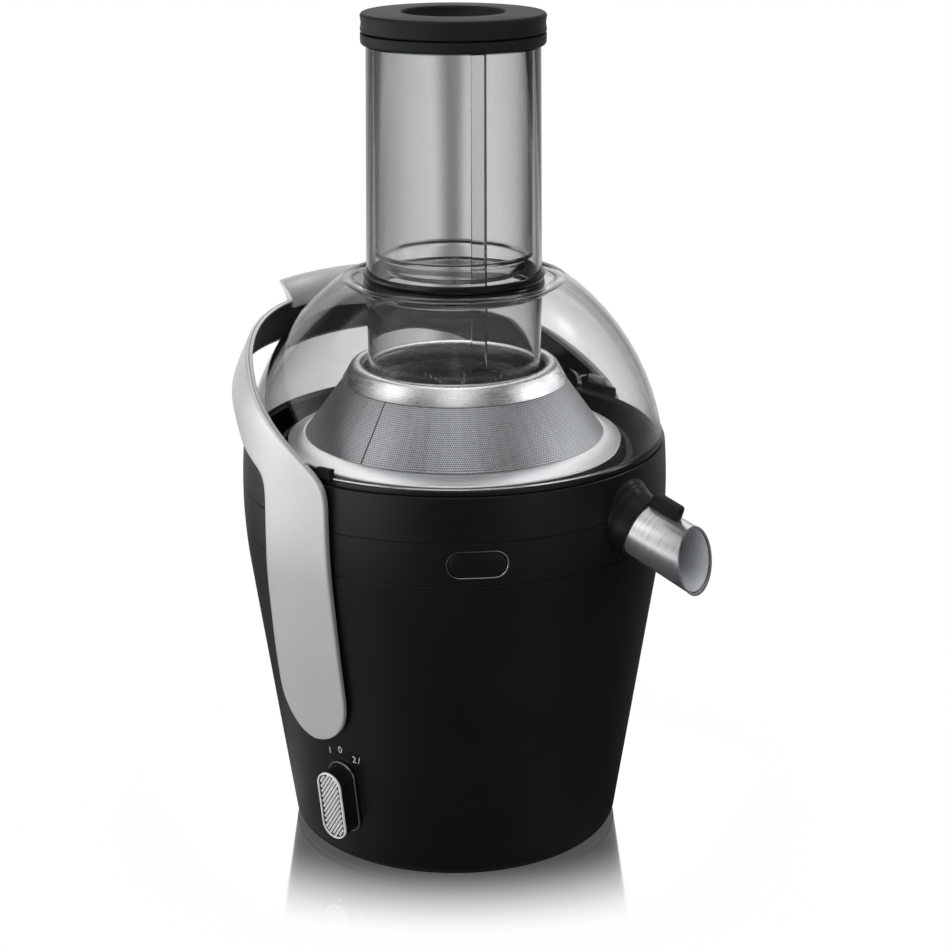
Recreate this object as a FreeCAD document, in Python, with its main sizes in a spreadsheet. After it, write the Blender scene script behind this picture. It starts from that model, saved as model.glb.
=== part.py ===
import FreeCAD, Part
import math
import os
import Sketcher
from FreeCAD import Rotation, Vector
from types import SimpleNamespace

# Centrifugal juicer. Millimetres, +Z up. The origin is on the spindle axis at the level that the
# machine stands on. The user's side, with the knob, is -Y. The juice spout points to about +X.
# The locking arm passes behind the dome on the -X side and has a paddle on each of the Y sides.

SIZES = [
    # body outline: a cone that runs into one long arc
    ("base_radius", 87.0, "body radius at the base seam"),
    ("base_seam", 5.0, "height of the base seam"),
    ("cone_top", 146.0, "height where the cone runs into the belly arc"),
    ("belly_radius", 110.7, "largest body radius"),
    ("belly_height", 187.0, "height of the largest radius"),
    ("belly_curve", 280.0, "radius of the belly arc"),
    ("lower_seam", 168.5, "seam between motor housing and band"),
    ("upper_seam", 190.7, "seam between band and pulp container"),
    ("rim_height", 213.6, "top of the pulp container"),
    ("seam_break", 0.4, "how far the edges at a seam are broken"),
    ("housing_wall", 4.0, "wall of the motor housing and band"),
    # base
    ("base_underside", 1.5, "height of the base plate's underside"),
    ("base_thickness", 3.0, "base plate thickness"),
    ("base_chamfer", 1.2, "slope of the base plate's edge"),
    ("slip_ring_inner", 58.0, "anti-slip ring, inner radius"),
    ("slip_ring_width", 10.0, "anti-slip ring, width"),
    ("slip_ring_seat", 1.5, "depth of the ring's groove"),
    ("vent_count", 16.0, "slots in the base plate"),
    ("vent_radius", 30.0, "inner end of a slot"),
    ("vent_length", 20.0, "slot length"),
    ("vent_width", 3.0, "slot width"),
    ("base_screw_circle", 78.0, "radius of the base screw circle"),
    ("screw_radius", 2.0, "self-tapping screw radius"),
    ("screw_head_radius", 3.8, "screw head radius"),
    ("screw_head_height", 2.0, "screw head height"),
    ("screw_length", 14.0, "screw length under the head"),
    ("boss_radius", 7.0, "screw boss radius"),
    ("boss_height", 18.0, "screw boss height"),
    # clearances
    ("press_gap", 0.02, "fixed round fits"),
    ("running_gap", 0.05, "running fit on a radius"),
    ("loose_gap", 0.3, "free clearance between pieces"),
    ("block_side", 300.0, "side of the blocks that cut or keep a whole region"),
    # motor deck
    ("deck_height", 117.0, "underside of the motor deck"),
    ("deck_thickness", 3.0, "motor deck thickness"),
    ("deck_screw_circle", 90.0, "radius of the deck screw circle"),
    # motor
    ("shaft_radius", 5.0, "motor shaft radius"),
    ("shaft_bottom", 13.0, "lower end of the shaft"),
    ("shaft_top", 205.5, "upper end of the shaft"),
    ("bearing_radius", 11.0, "ball bearing outer radius"),
    ("bearing_width", 7.0, "ball bearing width"),
    ("lower_bearing_height", 18.0, "underside of the lower bearing"),
    ("fan_height", 32.0, "underside of the fan"),
    ("fan_radius", 29.0, "fan radius"),
    ("fan_blade_height", 8.0, "fan blade height"),
    ("fan_blades", 9.0, "number of fan blades"),
    ("fan_disc", 2.0, "fan disc thickness"),
    ("commutator_height", 46.0, "underside of the commutator"),
    ("commutator_radius", 12.0, "commutator radius"),
    ("commutator_length", 12.0, "commutator length"),
    ("core_height", 66.0, "underside of armature and stator"),
    ("core_length", 28.0, "stack length of armature and stator"),
    ("armature_radius", 22.0, "armature radius"),
    ("winding_radius", 18.0, "armature end winding radius"),
    ("winding_length", 6.0, "armature end winding length"),
    ("air_gap", 0.6, "gap between armature and stator"),
    ("stator_side", 76.0, "side of the square stator"),
    ("coil_width", 18.0, "field coil width"),
    ("coil_overhang", 7.0, "field coil past the stack"),
    ("bracket_length", 88.0, "bearing bracket length"),
    ("bracket_width", 34.0, "bearing bracket width"),
    ("bracket_thickness", 3.0, "bearing bracket thickness"),
    ("bolt_spread", 38.0, "half distance between the motor bolts"),
    ("bolt_radius", 2.0, "motor bolt radius"),
    ("mount_radius", 6.0, "rubber mount radius"),
    ("brush_size", 6.0, "carbon brush width"),
    ("brush_length", 12.0, "carbon brush length"),
    ("holder_wall", 1.5, "brush holder wall"),
    # drive
    ("coupling_height", 197.5, "underside of the drive coupling"),
    ("coupling_length", 10.0, "drive coupling length"),
    ("coupling_radius", 11.0, "drive coupling radius"),
    ("coupling_flats", 18.0, "distance across the coupling's flats"),
    # pulp container
    ("bowl_radius", 93.5, "outer radius of the bowl in the body"),
    ("bowl_floor", 127.0, "underside of the bowl"),
    ("bowl_wall", 2.5, "bowl wall"),
    ("bowl_corner", 8.0, "slope at the foot of the bowl"),
    ("hub_tube_radius", 11.5, "outer radius of the tube round the shaft"),
    ("hub_tube_top", 192.5, "top of the tube round the shaft"),
    ("channel_floor", 193.6, "floor of the juice channel"),
    ("channel_wall_radius", 91.5, "outer radius of the channel's inner wall"),
    ("channel_wall_top", 209.5, "top of the channel's inner wall"),
    ("mouth_radius", 106.8, "inner radius of the container's mouth"),
    # lid
    ("lid_flange_radius", 108.4, "lid flange radius"),
    ("lid_flange_bottom", 213.9, "underside of the lid flange"),
    ("dome_foot_radius", 107.7, "dome radius at its foot"),
    ("dome_foot_height", 216.7, "height of the dome's foot"),
    ("dome_crest_radius", 57.5, "radius of the dome's crest"),
    ("dome_crest_height", 296.8, "height of the dome's crest"),
    ("dome_curve", 122.6, "radius of the dome's arc"),
    ("dome_wall", 2.6, "dome wall"),
    ("valley_height", 291.5, "height of the valley round the feed tube"),
    ("skirt_radius", 105.6, "outer radius of the lid's skirt"),
    ("skirt_bottom", 210.4, "lower end of the lid's skirt"),
    ("seal_width", 1.6, "lid seal, width"),
    ("seal_height", 1.3, "lid seal, height"),
    ("lug_length", 9.0, "lid lug length"),
    ("lug_height", 5.0, "lid lug height"),
    ("lug_start", 12.5, "distance from the arm's centre line to the lug"),
    # feed tube and pusher
    ("tube_top_radius", 43.5, "feed tube radius at the top"),
    ("tube_top", 413.4, "top of the feed tube"),
    ("tube_root_radius", 44.8, "feed tube radius at the dome"),
    ("tube_foot_radius", 44.2, "feed tube radius at its lower end"),
    ("tube_bottom", 243.2, "lower end of the feed tube"),
    ("tube_wall", 2.6, "feed tube wall"),
    ("tube_collar_radius", 46.4, "black collar radius"),
    ("tube_collar_height", 9.5, "black collar height"),
    ("pusher_radius", 40.3, "pusher radius"),
    ("pusher_wall", 2.2, "pusher wall"),
    ("pusher_bottom", 300.4, "lower end of the pusher"),
    ("pusher_foot_radius", 35.5, "radius of the pusher's foot"),
    ("pusher_foot_height", 11.0, "height of the pusher's foot"),
    ("cap_radius", 46.4, "pusher cap radius"),
    ("cap_top", 430.0, "top of the pusher cap"),
    ("cap_groove", 420.1, "height of the groove in the cap"),
    ("cap_well_radius", 25.5, "radius of the well in the cap"),
    ("cap_well_depth", 6.5, "depth of the well in the cap"),
    ("cap_waist", 0.7, "how far the cap's side is drawn in"),
    ("key_width", 7.0, "width of the pusher's key"),
    ("key_depth", 1.2, "depth of the pusher's key in its groove"),
    ("key_angle", 17.0, "key, degrees round from the camera side"),
    # sieve basket
    ("sieve_opening", 46.8, "inner radius of the sieve's crown"),
    ("crown_foot_radius", 58.1, "crown radius where the mesh starts"),
    ("crown_foot_height", 243.2, "height where the mesh starts"),
    ("crown_top_height", 252.9, "top of the crown"),
    ("crown_sheet", 1.2, "crown sheet thickness"),
    ("mesh_foot_radius", 77.4, "mesh radius at its lower end"),
    ("mesh_foot_height", 216.1, "height of the mesh's lower end"),
    ("mesh_thickness", 0.6, "mesh thickness"),
    ("sieve_rim_radius", 86.6, "sieve's lower rim radius"),
    ("sieve_rim_height", 212.6, "height of the sieve's lower rim"),
    ("sieve_rim_depth", 6.0, "drop of the rim's edge"),
    ("disc_height", 235.4, "underside of the grater disc"),
    ("disc_thickness", 1.6, "grater disc thickness"),
    ("tooth_rows", 12.0, "rows of grater teeth"),
    ("teeth_per_row", 6.0, "teeth in a row"),
    ("tooth_radius", 0.9, "tooth radius"),
    ("tooth_height", 1.5, "tooth height"),
    ("hub_radius", 17.0, "sieve hub radius"),
    ("hub_flange", 27.0, "sieve hub flange radius"),
    ("nut_radius", 8.5, "radius of the nut on the grater disc"),
    ("hub_bottom", 198.5, "lower end of the sieve hub"),
    # locking arm
    ("arm_pivot_height", 84.0, "height of the arm's pivot"),
    ("arm_stand", 5.7, "arm's outer face, out from the body"),
    ("arm_gap_low", 2.6, "arm to body round the pivot, room for the swing"),
    ("arm_gap_high", 2.0, "arm to body at the belly"),
    ("arm_gap_end", 122.0, "height where the wide gap ends"),
    ("arm_foot", 73.0, "lower end of the paddle"),
    ("arm_front", 23.5, "front edge of the paddle"),
    ("arm_back", 24.5, "back edge of the paddle low down"),
    ("arm_back_high", 19.5, "back edge of the paddle high up"),
    ("arm_shoulder", 214.0, "top of the paddle's front corner"),
    ("arm_top", 272.5, "top of the arm behind the dome"),
    ("arm_under", 249.0, "underside of the arm behind the dome"),
    ("arm_lean_start", 236.0, "height where the arm starts to lean in"),
    ("arm_bend_top", 253.5, "height where the arm's bend ends"),
    ("arm_bend_in", 4.3, "how far the bend leans in"),
    ("arm_bend_curve", 49.0, "radius of the bend"),
    ("arm_lean", 14.2, "how far the arm leans in at its top"),
    ("liner_thickness", 1.2, "arm liner thickness"),
    ("liner_front", 38.0, "where the liner ends, from the pivot plane"),
    ("grip_half_width", 27.0, "half width of the grip lip"),
    ("grip_rise", 10.5, "height of the grip lip"),
    ("grip_flare", 6.0, "how far the grip lip flares out"),
    ("grip_sheet", 2.8, "thickness of the grip lip"),
    ("track_depth", 2.4, "depth of the flat under the arm"),
    ("track_bottom", 78.0, "where the flat starts"),
    ("pivot_radius", 5.0, "pivot pin radius"),
    ("pivot_inner", 78.0, "inner end of the pivot pin"),
    ("bush_radius", 8.0, "pivot bush radius"),
    ("bush_length", 10.0, "pivot bush length"),
    ("pivot_boss_radius", 12.0, "pivot boss radius"),
    ("retainer_radius", 9.0, "pivot retainer radius"),
    ("retainer_width", 3.0, "pivot retainer width"),
    ("arm_boss_radius", 9.0, "radius of the arm's boss round the pin"),
    ("safety_width", 12.0, "safety switch width"),
    # spout
    ("spout_azimuth", 6.7, "spout direction from +X, degrees"),
    ("spout_tilt", 18.4, "spout slope, degrees down"),
    ("spout_radius_at", 108.0, "distance of the spout's datum from the spindle"),
    ("spout_height", 188.2, "height of the spout's datum"),
    ("spout_length", 42.9, "datum to the cut, on the spout's axis"),
    ("spout_cut", 28.1, "slant of the cut, degrees"),
    ("spout_inner_radius", 14.4, "spout tube radius at the collar"),
    ("spout_outer_radius", 15.1, "spout tube radius at the cut"),
    ("spout_wall", 0.8, "spout tube wall"),
    ("spout_start", 4.0, "start of the spout tube, past the datum"),
    ("nozzle_bore", 11.5, "bore of the nozzle in the spout"),
    ("nozzle_end", 20.0, "end of the nozzle, past the datum"),
    ("neck_radius", 15.0, "radius of the nozzle's neck in the body"),
    ("neck_start", 9.0, "start of the neck, behind the datum"),
    ("collar_end", 10.3, "end of the collar, past the datum"),
    ("collar_radius", 15.9, "collar radius at its end"),
    ("collar_flare", 19.6, "collar radius where it meets the body"),
    ("lever_start", 10.8, "start of the spout lever"),
    ("lever_length", 16.5, "spout lever length"),
    ("lever_width", 5.6, "spout lever width"),
    ("lever_height", 7.2, "spout lever height over the tube"),
    # release button
    ("button_azimuth", 50.2, "button direction from -Y, degrees"),
    ("button_height", 179.7, "height of the button's centre"),
    ("button_half_length", 15.6, "half length of the pill"),
    ("button_radius", 7.4, "end radius of the pill"),
    ("button_depth", 5.0, "button thickness"),
    ("bezel_width", 0.8, "width of the bright rim"),
    ("button_stem_radius", 3.0, "button stem radius"),
    ("button_spring_radius", 4.2, "button spring outer radius"),
    # knob
    ("knob_azimuth", 6.8, "knob direction from -Y, degrees"),
    ("knob_height", 40.5, "height of the knob's centre"),
    ("knob_half_length", 19.5, "half length of the knob"),
    ("knob_radius", 7.6, "end radius of the knob"),
    ("knob_depth", 11.5, "how far the knob stands out"),
    ("knob_flange", 1.2, "width of the knob's flange"),
    ("knob_flange_depth", 1.2, "thickness of the knob's flange"),
    ("knob_face_depth", 1.2, "thickness of the bright face"),
    ("knob_shaft_radius", 3.0, "knob shaft radius"),
    ("knob_shaft_length", 14.0, "knob shaft length behind the knob"),
    ("switch_side", 22.0, "rotary switch side"),
    ("switch_depth", 12.0, "rotary switch depth"),
    # electrics
    ("board_length", 46.0, "control board length"),
    ("board_height", 34.0, "control board height"),
    ("board_thickness", 1.6, "control board thickness"),
    ("board_stand", 14.0, "how far the control board stands off the housing"),
    ("gland_height", 24.0, "height of the cord inlet"),
    ("gland_radius", 8.0, "cord inlet radius"),
    ("gland_bore", 3.6, "cord inlet bore"),
    ("gland_flange", 10.5, "cord inlet flange radius"),
]


class Size:
    """A length or an angle that carries both its value and the sheet formula it comes from."""

    def __init__(self, value, formula):
        self.value = float(value)
        self.formula = formula

    def __add__(self, other):
        other = as_size(other)
        return Size(self.value + other.value, f"({self.formula} + {other.formula})")

    def __radd__(self, other):
        return as_size(other) + self

    def __sub__(self, other):
        other = as_size(other)
        return Size(self.value - other.value, f"({self.formula} - {other.formula})")

    def __rsub__(self, other):
        return as_size(other) - self

    def __mul__(self, other):
        other = as_size(other)
        return Size(self.value * other.value, f"({self.formula} * {other.formula})")

    def __rmul__(self, other):
        return as_size(other) * self

    def __truediv__(self, other):
        other = as_size(other)
        return Size(self.value / other.value, f"({self.formula} / {other.formula})")

    def __neg__(self):
        return Size(-self.value, f"(-1 * {self.formula})")


def as_size(number):
    return number if isinstance(number, Size) else Size(number, f"{float(number):.6f}")


def square_root(size):
    return Size(math.sqrt(size.value), f"sqrt({size.formula})")


doc = FreeCAD.newDocument("centrifugal_juicer")
sheet = doc.addObject("Spreadsheet::Sheet", "Sizes")
for row, (alias, value, meaning) in enumerate(SIZES, start=1):
    sheet.set(f"A{row}", meaning)
    sheet.set(f"B{row}", str(value))
    sheet.setAlias(f"B{row}", alias)
doc.recompute()
S = SimpleNamespace(**{alias: Size(value, f"Sizes.{alias}") for alias, value, _ in SIZES})


# ---------------------------------------------------------------- drawing helpers

def draw(sketch, points):
    """Closed outline through points (x, y) or (x, y, radius).

    A radius turns the edge that arrives at the point into an arc. A positive radius bends to the
    left of the direction of travel, a negative one to the right.
    """
    corners = [(as_size(point[0]), as_size(point[1])) for point in points]
    ends = []
    for index, point in enumerate(points):
        x0, y0 = (size.value for size in corners[index - 1])
        x1, y1 = (size.value for size in corners[index])
        if len(point) == 2:
            line = Part.LineSegment(Vector(x0, y0, 0), Vector(x1, y1, 0))
            ends.append((sketch.addGeometry(line, False), 1, 2))
            continue
        bend = as_size(point[2])
        radius = abs(bend.value)
        side = math.copysign(1.0, bend.value)
        chord = math.hypot(x1 - x0, y1 - y0)
        reach = math.sqrt(max(radius ** 2 - chord ** 2 / 4, 0.0)) * side
        centre_x = (x0 + x1) / 2 - (y1 - y0) / chord * reach
        centre_y = (y0 + y1) / 2 + (x1 - x0) / chord * reach
        angle0 = math.atan2(y0 - centre_y, x0 - centre_x)
        angle1 = math.atan2(y1 - centre_y, x1 - centre_x)
        circle = Part.Circle(Vector(centre_x, centre_y, 0), Vector(0, 0, 1), radius)
        turn = (angle0, angle1) if side > 0 else (angle1, angle0)
        arc = sketch.addGeometry(Part.ArcOfCircle(circle, *turn), False)
        ends.append((arc, 1, 2) if side > 0 else (arc, 2, 1))
        formula = bend.formula if side > 0 else (-bend).formula
        place(sketch, Sketcher.Constraint("Radius", arc, radius), formula)
    for index, (edge, _, end) in enumerate(ends):
        following, start, _ = ends[(index + 1) % len(ends)]
        sketch.addConstraint(Sketcher.Constraint("Coincident", edge, end, following, start))
        x, y = corners[index]
        pin_down(sketch, "DistanceX", edge, end, x, -2)
        pin_down(sketch, "DistanceY", edge, end, y, -1)


def place(sketch, constraint, formula):
    number = sketch.addConstraint(constraint)
    sketch.setExpression(f"Constraints[{number}]", formula)


def pin_down(sketch, kind, edge, end, size, axis):
    if size.value == 0:
        sketch.addConstraint(Sketcher.Constraint("PointOnObject", edge, end, axis))
    else:
        place(sketch, Sketcher.Constraint(kind, -1, 1, edge, end, size.value), size.formula)


def new_body(name):
    body = doc.addObject("PartDesign::Body", name)
    body.Label = name
    return body


def outline(body, plane, points, name):
    """Sketch of one closed outline on an origin plane of the body."""
    sketch = body.newObject("Sketcher::SketchObject", name)
    support = [part for part in body.Origin.OriginFeatures if part.Role == plane][0]
    sketch.AttachmentSupport = [(support, "")]
    sketch.MapMode = "FlatFace"
    draw(sketch, points)
    return sketch


def turned(name, points):
    """A piece of revolution about Z from its half section, given as (radius, height) points."""
    body = new_body(name)
    sketch = outline(body, "XZ_Plane", points, name + "_section")
    turn = body.newObject("PartDesign::Revolution", name + "_turn")
    turn.Profile = sketch
    turn.ReferenceAxis = (sketch, ["V_Axis"])
    turn.Angle = 360
    sketch.Visibility = False
    return body


def padded(name, plane, points, length, both_ways=False):
    """A prism of an outline on an origin plane, along the plane's normal or both ways from it."""
    body = new_body(name)
    sketch = outline(body, plane, points, name + "_outline")
    pad = body.newObject("PartDesign::Pad", name + "_pad")
    pad.Profile = sketch
    pad.setExpression("Length", as_size(length).formula)
    pad.Midplane = both_ways
    sketch.Visibility = False
    return body


def stadium(half_length, radius):
    """Outline of a pill along X."""
    straight = half_length - radius
    return [(straight, -radius), (half_length, 0, radius), (straight, radius, radius),
            (-straight, radius), (-half_length, 0, radius), (-straight, -radius, radius)]


def seat(piece, x, y, z):
    """Move a piece without turning it, with its place bound to the sheet."""
    for axis, number in zip("xyz", (x, y, z)):
        piece.setExpression(f"Placement.Base.{axis}", as_size(number).formula)
    return piece


def cylinder(name, radius, height, base=None):
    rod = doc.addObject("Part::Cylinder", name)
    rod.Label = name
    rod.setExpression("Radius", as_size(radius).formula)
    rod.setExpression("Height", as_size(height).formula)
    return seat(rod, *base) if base else rod


def box(name, length, width, height, base=None):
    block = doc.addObject("Part::Box", name)
    block.Label = name
    block.setExpression("Length", as_size(length).formula)
    block.setExpression("Width", as_size(width).formula)
    block.setExpression("Height", as_size(height).formula)
    return seat(block, *base) if base else block


def cut(name, piece, tools):
    """The piece with each tool taken away."""
    for number, tool in enumerate(tools, start=1):
        last = number == len(tools)
        result = doc.addObject("Part::Cut", name if last else f"{name}_step{number}")
        result.Label = result.Name if not last else name
        result.Base = piece
        result.Tool = tool
        piece = result
    return piece


def fuse(name, pieces):
    result = doc.addObject("Part::MultiFuse", name)
    result.Label = name
    result.Shapes = pieces
    result.Refine = True
    return result


def common(name, pieces):
    result = doc.addObject("Part::MultiCommon", name)
    result.Label = name
    result.Shapes = pieces
    return result


def group(name, pieces):
    """Separate solids that share one node."""
    result = doc.addObject("Part::Compound", name)
    result.Label = name
    result.Links = pieces
    return result


def ring_of(name, make, count, radius, first_angle=0.0):
    """Copies of a piece at equal steps round the spindle. make(name, x, y, angle) builds one."""
    pieces = []
    for number in range(int(round(as_size(count).value))):
        angle = first_angle + 360.0 * number / as_size(count).value
        x = as_size(radius) * math.cos(math.radians(angle))
        y = as_size(radius) * math.sin(math.radians(angle))
        pieces.append(make(f"{name}_{number + 1}", x, y, angle))
    return pieces


ALONG_Y = Rotation(Vector(1, 0, 0), -90)
AGAINST_Y = Rotation(Vector(1, 0, 0), 90)
HALF_TURN = Rotation(Vector(0, 0, 1), 180)


def body_radius(height):
    """Outer radius of the body at a height, on the cone or on the belly arc above it."""
    if as_size(height).value < S.cone_top.value:
        share = (height - S.base_seam) / (S.cone_top - S.base_seam)
        return S.base_radius + (arc_radius(S.cone_top) - S.base_radius) * share
    return arc_radius(height)


def arc_radius(height):
    rise = height - S.belly_height
    return S.belly_radius - S.belly_curve + square_root(S.belly_curve * S.belly_curve - rise * rise)


def outward(azimuth_from_x, slope=0.0):
    """Frame on the body's side: local Z points outward, local X points up the side."""
    turn = math.radians(azimuth_from_x)
    fall = math.radians(slope)
    out = Vector(math.cos(turn) * math.cos(fall), math.sin(turn) * math.cos(fall), -math.sin(fall))
    up = Vector(math.cos(turn) * math.sin(fall), math.sin(turn) * math.sin(fall), math.cos(fall))
    return Rotation(up, Vector(), out, "ZXY")


def on_side(azimuth_from_x, radius, height, along=0.0, rotation=None):
    """Point at a radius and height, moved along the local Z of a frame."""
    turn = math.radians(azimuth_from_x)
    start = Vector(radius * math.cos(turn), radius * math.sin(turn), height)
    return start + rotation.multVec(Vector(0, 0, along)) if rotation else start


# ---------------------------------------------------------------- shared cutting shapes

belly = S.belly_curve
seam = S.seam_break


def edge_above(height):
    """Outer points of a piece that starts at a seam, upward."""
    return [(body_radius(height) - seam, height), (body_radius(height + seam), height + seam)]


def edge_below(height, *arc):
    """Outer points of a piece that ends at a seam, upward."""
    return [(body_radius(height - seam), height - seam, *arc), (body_radius(height) - seam, height)]


def arm_track(name):
    """The flat that lets the paddle swing past the round body, on the -Y side."""
    def flat(height):
        return -(body_radius(height) - S.track_depth)

    low = S.track_bottom
    run_in = low + 24.0
    far = S.belly_radius + 30.0
    return padded(name, "YZ_Plane", [
        (-(body_radius(low) + 0.1), low), (flat(run_in), run_in), (flat(S.cone_top), S.cone_top),
        (flat(S.lower_seam), S.lower_seam), (-(S.belly_radius - S.track_depth), S.belly_height),
        (-(S.belly_radius - S.track_depth), S.rim_height + 10.0), (-far, S.rim_height + 10.0),
        (-far, low)], 2.2 * S.arm_back, both_ways=True)


track_front = arm_track("track_front")
track_back = arm_track("track_back")
track_back.Placement.Rotation = HALF_TURN
tracks = [track_front, track_back]

spout_turn = outward(S.spout_azimuth.value, S.spout_tilt.value)
spout_datum = on_side(S.spout_azimuth.value, S.spout_radius_at.value, S.spout_height.value)
spout_hole = cylinder("spout_hole", S.neck_radius + S.loose_gap, 2 * S.neck_start + 8.0)
spout_hole.Placement = FreeCAD.Placement(spout_datum + spout_turn.multVec(
    Vector(0, 0, -S.neck_start.value - S.loose_gap.value)), spout_turn)

button_turn = outward(S.button_azimuth.value - 90.0)
button_face = on_side(S.button_azimuth.value - 90.0, body_radius(S.button_height).value,
                      S.button_height.value)

knob_slope = math.degrees(math.atan2(body_radius(S.knob_height + 1).value
                                     - body_radius(S.knob_height).value, 1.0))
knob_turn = outward(S.knob_azimuth.value - 90.0, knob_slope)
knob_face_at = on_side(S.knob_azimuth.value - 90.0, body_radius(S.knob_height).value,
                       S.knob_height.value)


def at_button(piece, along):
    piece.Placement = FreeCAD.Placement(button_face + button_turn.multVec(Vector(0, 0, along)),
                                        button_turn.multiply(Rotation(Vector(0, 0, 1), 90)))
    return piece


def at_knob(piece, along):
    piece.Placement = FreeCAD.Placement(knob_face_at + knob_turn.multVec(Vector(0, 0, along)),
                                        knob_turn)
    return piece


def at_spout(piece, along=0.0):
    piece.Placement = FreeCAD.Placement(spout_datum + spout_turn.multVec(Vector(0, 0, along)),
                                        spout_turn)
    return piece


# ---------------------------------------------------------------- base

groove_top = S.base_underside + S.slip_ring_seat
slip_outer = S.slip_ring_inner + S.slip_ring_width
base_top = S.base_underside + S.base_thickness

turned("anti_slip_ring", [
    (S.slip_ring_inner, 0), (slip_outer, 0), (slip_outer, groove_top), (S.slip_ring_inner, groove_top)])

plate = turned("base_plate_turned", [
    (0, S.base_underside), (S.slip_ring_inner - S.press_gap, S.base_underside),
    (S.slip_ring_inner - S.press_gap, groove_top), (slip_outer + S.press_gap, groove_top),
    (slip_outer + S.press_gap, S.base_underside),
    (S.base_radius - 2 * S.base_chamfer, S.base_underside),
    (S.base_radius - S.base_chamfer, S.base_underside + S.base_chamfer),
    (S.base_radius - 0.6 * S.base_chamfer, S.base_seam - seam),
    (S.base_radius - 0.6 * S.base_chamfer - seam, S.base_seam),
    (S.base_radius - S.housing_wall - 1.0, S.base_seam),
    (S.base_radius - S.housing_wall - 1.0, base_top), (0, base_top)])
vent_far = S.vent_radius + S.vent_length
vent = outline(plate, "XY_Plane", [
    (S.vent_radius, -S.vent_width / 2), (vent_far, -S.vent_width / 2),
    (vent_far + S.vent_width / 2, 0, S.vent_width / 2), (vent_far, S.vent_width / 2, S.vent_width / 2),
    (S.vent_radius, S.vent_width / 2)], "vent_outline")
doc.recompute()
vent_cut = plate.newObject("PartDesign::Pocket", "vent_slot")
vent_cut.Profile = vent
vent_cut.Type = "ThroughAll"
vent_cut.Midplane = True
vents = plate.newObject("PartDesign::PolarPattern", "vent_slots")
vents.Originals = [vent_cut]
z_axis = [part for part in plate.Origin.OriginFeatures if part.Role == "Z_Axis"][0]
vents.Axis = (z_axis, [""])
vents.Angle = 360
vents.setExpression("Occurrences", S.vent_count.formula)
plate.Tip = vents
vent.Visibility = False

head_seat = S.base_underside + S.screw_head_height + 0.2
DIAGONAL = 45.0


def base_screw(name, x, y, angle):
    head = cylinder(name + "_head", S.screw_head_radius, S.screw_head_height,
                    (x, y, S.base_underside + 0.2))
    stem = cylinder(name + "_stem", S.screw_radius, S.screw_length, (x, y, head_seat))
    return fuse(name, [head, stem])


def base_screw_hole(name, x, y, angle):
    sink = cylinder(name + "_sink", S.screw_head_radius + 0.2, S.screw_head_height + 1.0,
                    (x, y, head_seat - S.screw_head_height - 1.0))
    way = cylinder(name + "_way", S.screw_radius + 0.2, S.base_thickness + 2.0,
                   (x, y, S.base_underside - 1.0))
    return fuse(name, [sink, way])


cut("base_plate", plate,
    ring_of("base_screw_hole", base_screw_hole, 4, S.base_screw_circle, DIAGONAL))
group("base_screws", ring_of("base_screw", base_screw, 4, S.base_screw_circle, DIAGONAL))

# ---------------------------------------------------------------- motor housing

housing_shell = turned("housing_shell", [
    (S.base_radius - S.housing_wall, S.base_seam), *edge_above(S.base_seam),
    (body_radius(S.cone_top), S.cone_top), *edge_below(S.lower_seam, belly),
    (body_radius(S.lower_seam) - S.housing_wall, S.lower_seam),
    (body_radius(S.cone_top) - S.housing_wall, S.cone_top)])


def base_boss(name, x, y, angle):
    return cylinder(name, S.boss_radius, S.boss_height, (x, y, base_top + 0.1))


def deck_boss(name, x, y, angle):
    return cylinder(name, S.boss_radius + 1.0, S.boss_height, (x, y, S.deck_height - S.boss_height))


def base_boss_bore(name, x, y, angle):
    return cylinder(name, S.screw_radius + S.press_gap, S.screw_length + 1.0, (x, y, base_top))


def deck_boss_bore(name, x, y, angle):
    return cylinder(name, S.screw_radius + S.press_gap, S.screw_length + 1.0,
                    (x, y, S.deck_height - S.screw_length + S.deck_thickness))


bush_outer = body_radius(S.arm_pivot_height) - S.track_depth - 0.4
bush_inner = bush_outer - S.bush_length
safety_x = S.pivot_boss_radius + 0.6


def across(name, radius, start, length, side):
    """A cylinder on the arm's pivot line, from a distance off the spindle outward."""
    turn = AGAINST_Y if side < 0 else ALONG_Y
    rod = cylinder(name, radius, length)
    rod.Placement = FreeCAD.Placement(
        Vector(0, side * as_size(start).value, S.arm_pivot_height.value), turn)
    return rod


SIDES = (("front", -1), ("back", 1))
pivot_bosses = [across(f"pivot_boss_{word}", S.pivot_boss_radius, bush_inner, S.bush_length - 0.6, side)
                for word, side in SIDES]
pivot_bores = [across(f"pivot_bore_{word}", S.bush_radius + S.press_gap, S.pivot_inner,
                      30.0, side) for word, side in SIDES]
arm_boss_wells = [across(f"arm_boss_well_{word}", S.arm_boss_radius + S.loose_gap, bush_outer,
                         30.0, side) for word, side in SIDES]
safety_pad = box("safety_pad", S.safety_width, 20.0, 12.0,
                 (safety_x, -bush_inner - 20.0, S.arm_pivot_height - 6.0))
body_bosses = fuse("body_bosses", ring_of("base_boss", base_boss, 4, S.base_screw_circle, DIAGONAL)
                   + ring_of("deck_boss", deck_boss, 4, S.deck_screw_circle, DIAGONAL) + [safety_pad])
body_envelope = turned("body_envelope", [
    (0, base_top), (S.base_radius - S.housing_wall - 1.2, base_top),
    (S.base_radius - S.housing_wall - 1.2, S.base_seam + 0.1), (S.base_radius - 1.0, S.base_seam + 0.1),
    (body_radius(S.cone_top) - 1.0, S.cone_top), (body_radius(S.rim_height) - 1.0, S.rim_height, belly),
    (0, S.rim_height)])
held_bosses = common("held_bosses", [body_bosses, body_envelope])
housing_solid = fuse("housing_solid", [housing_shell, held_bosses] + pivot_bosses)

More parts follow.
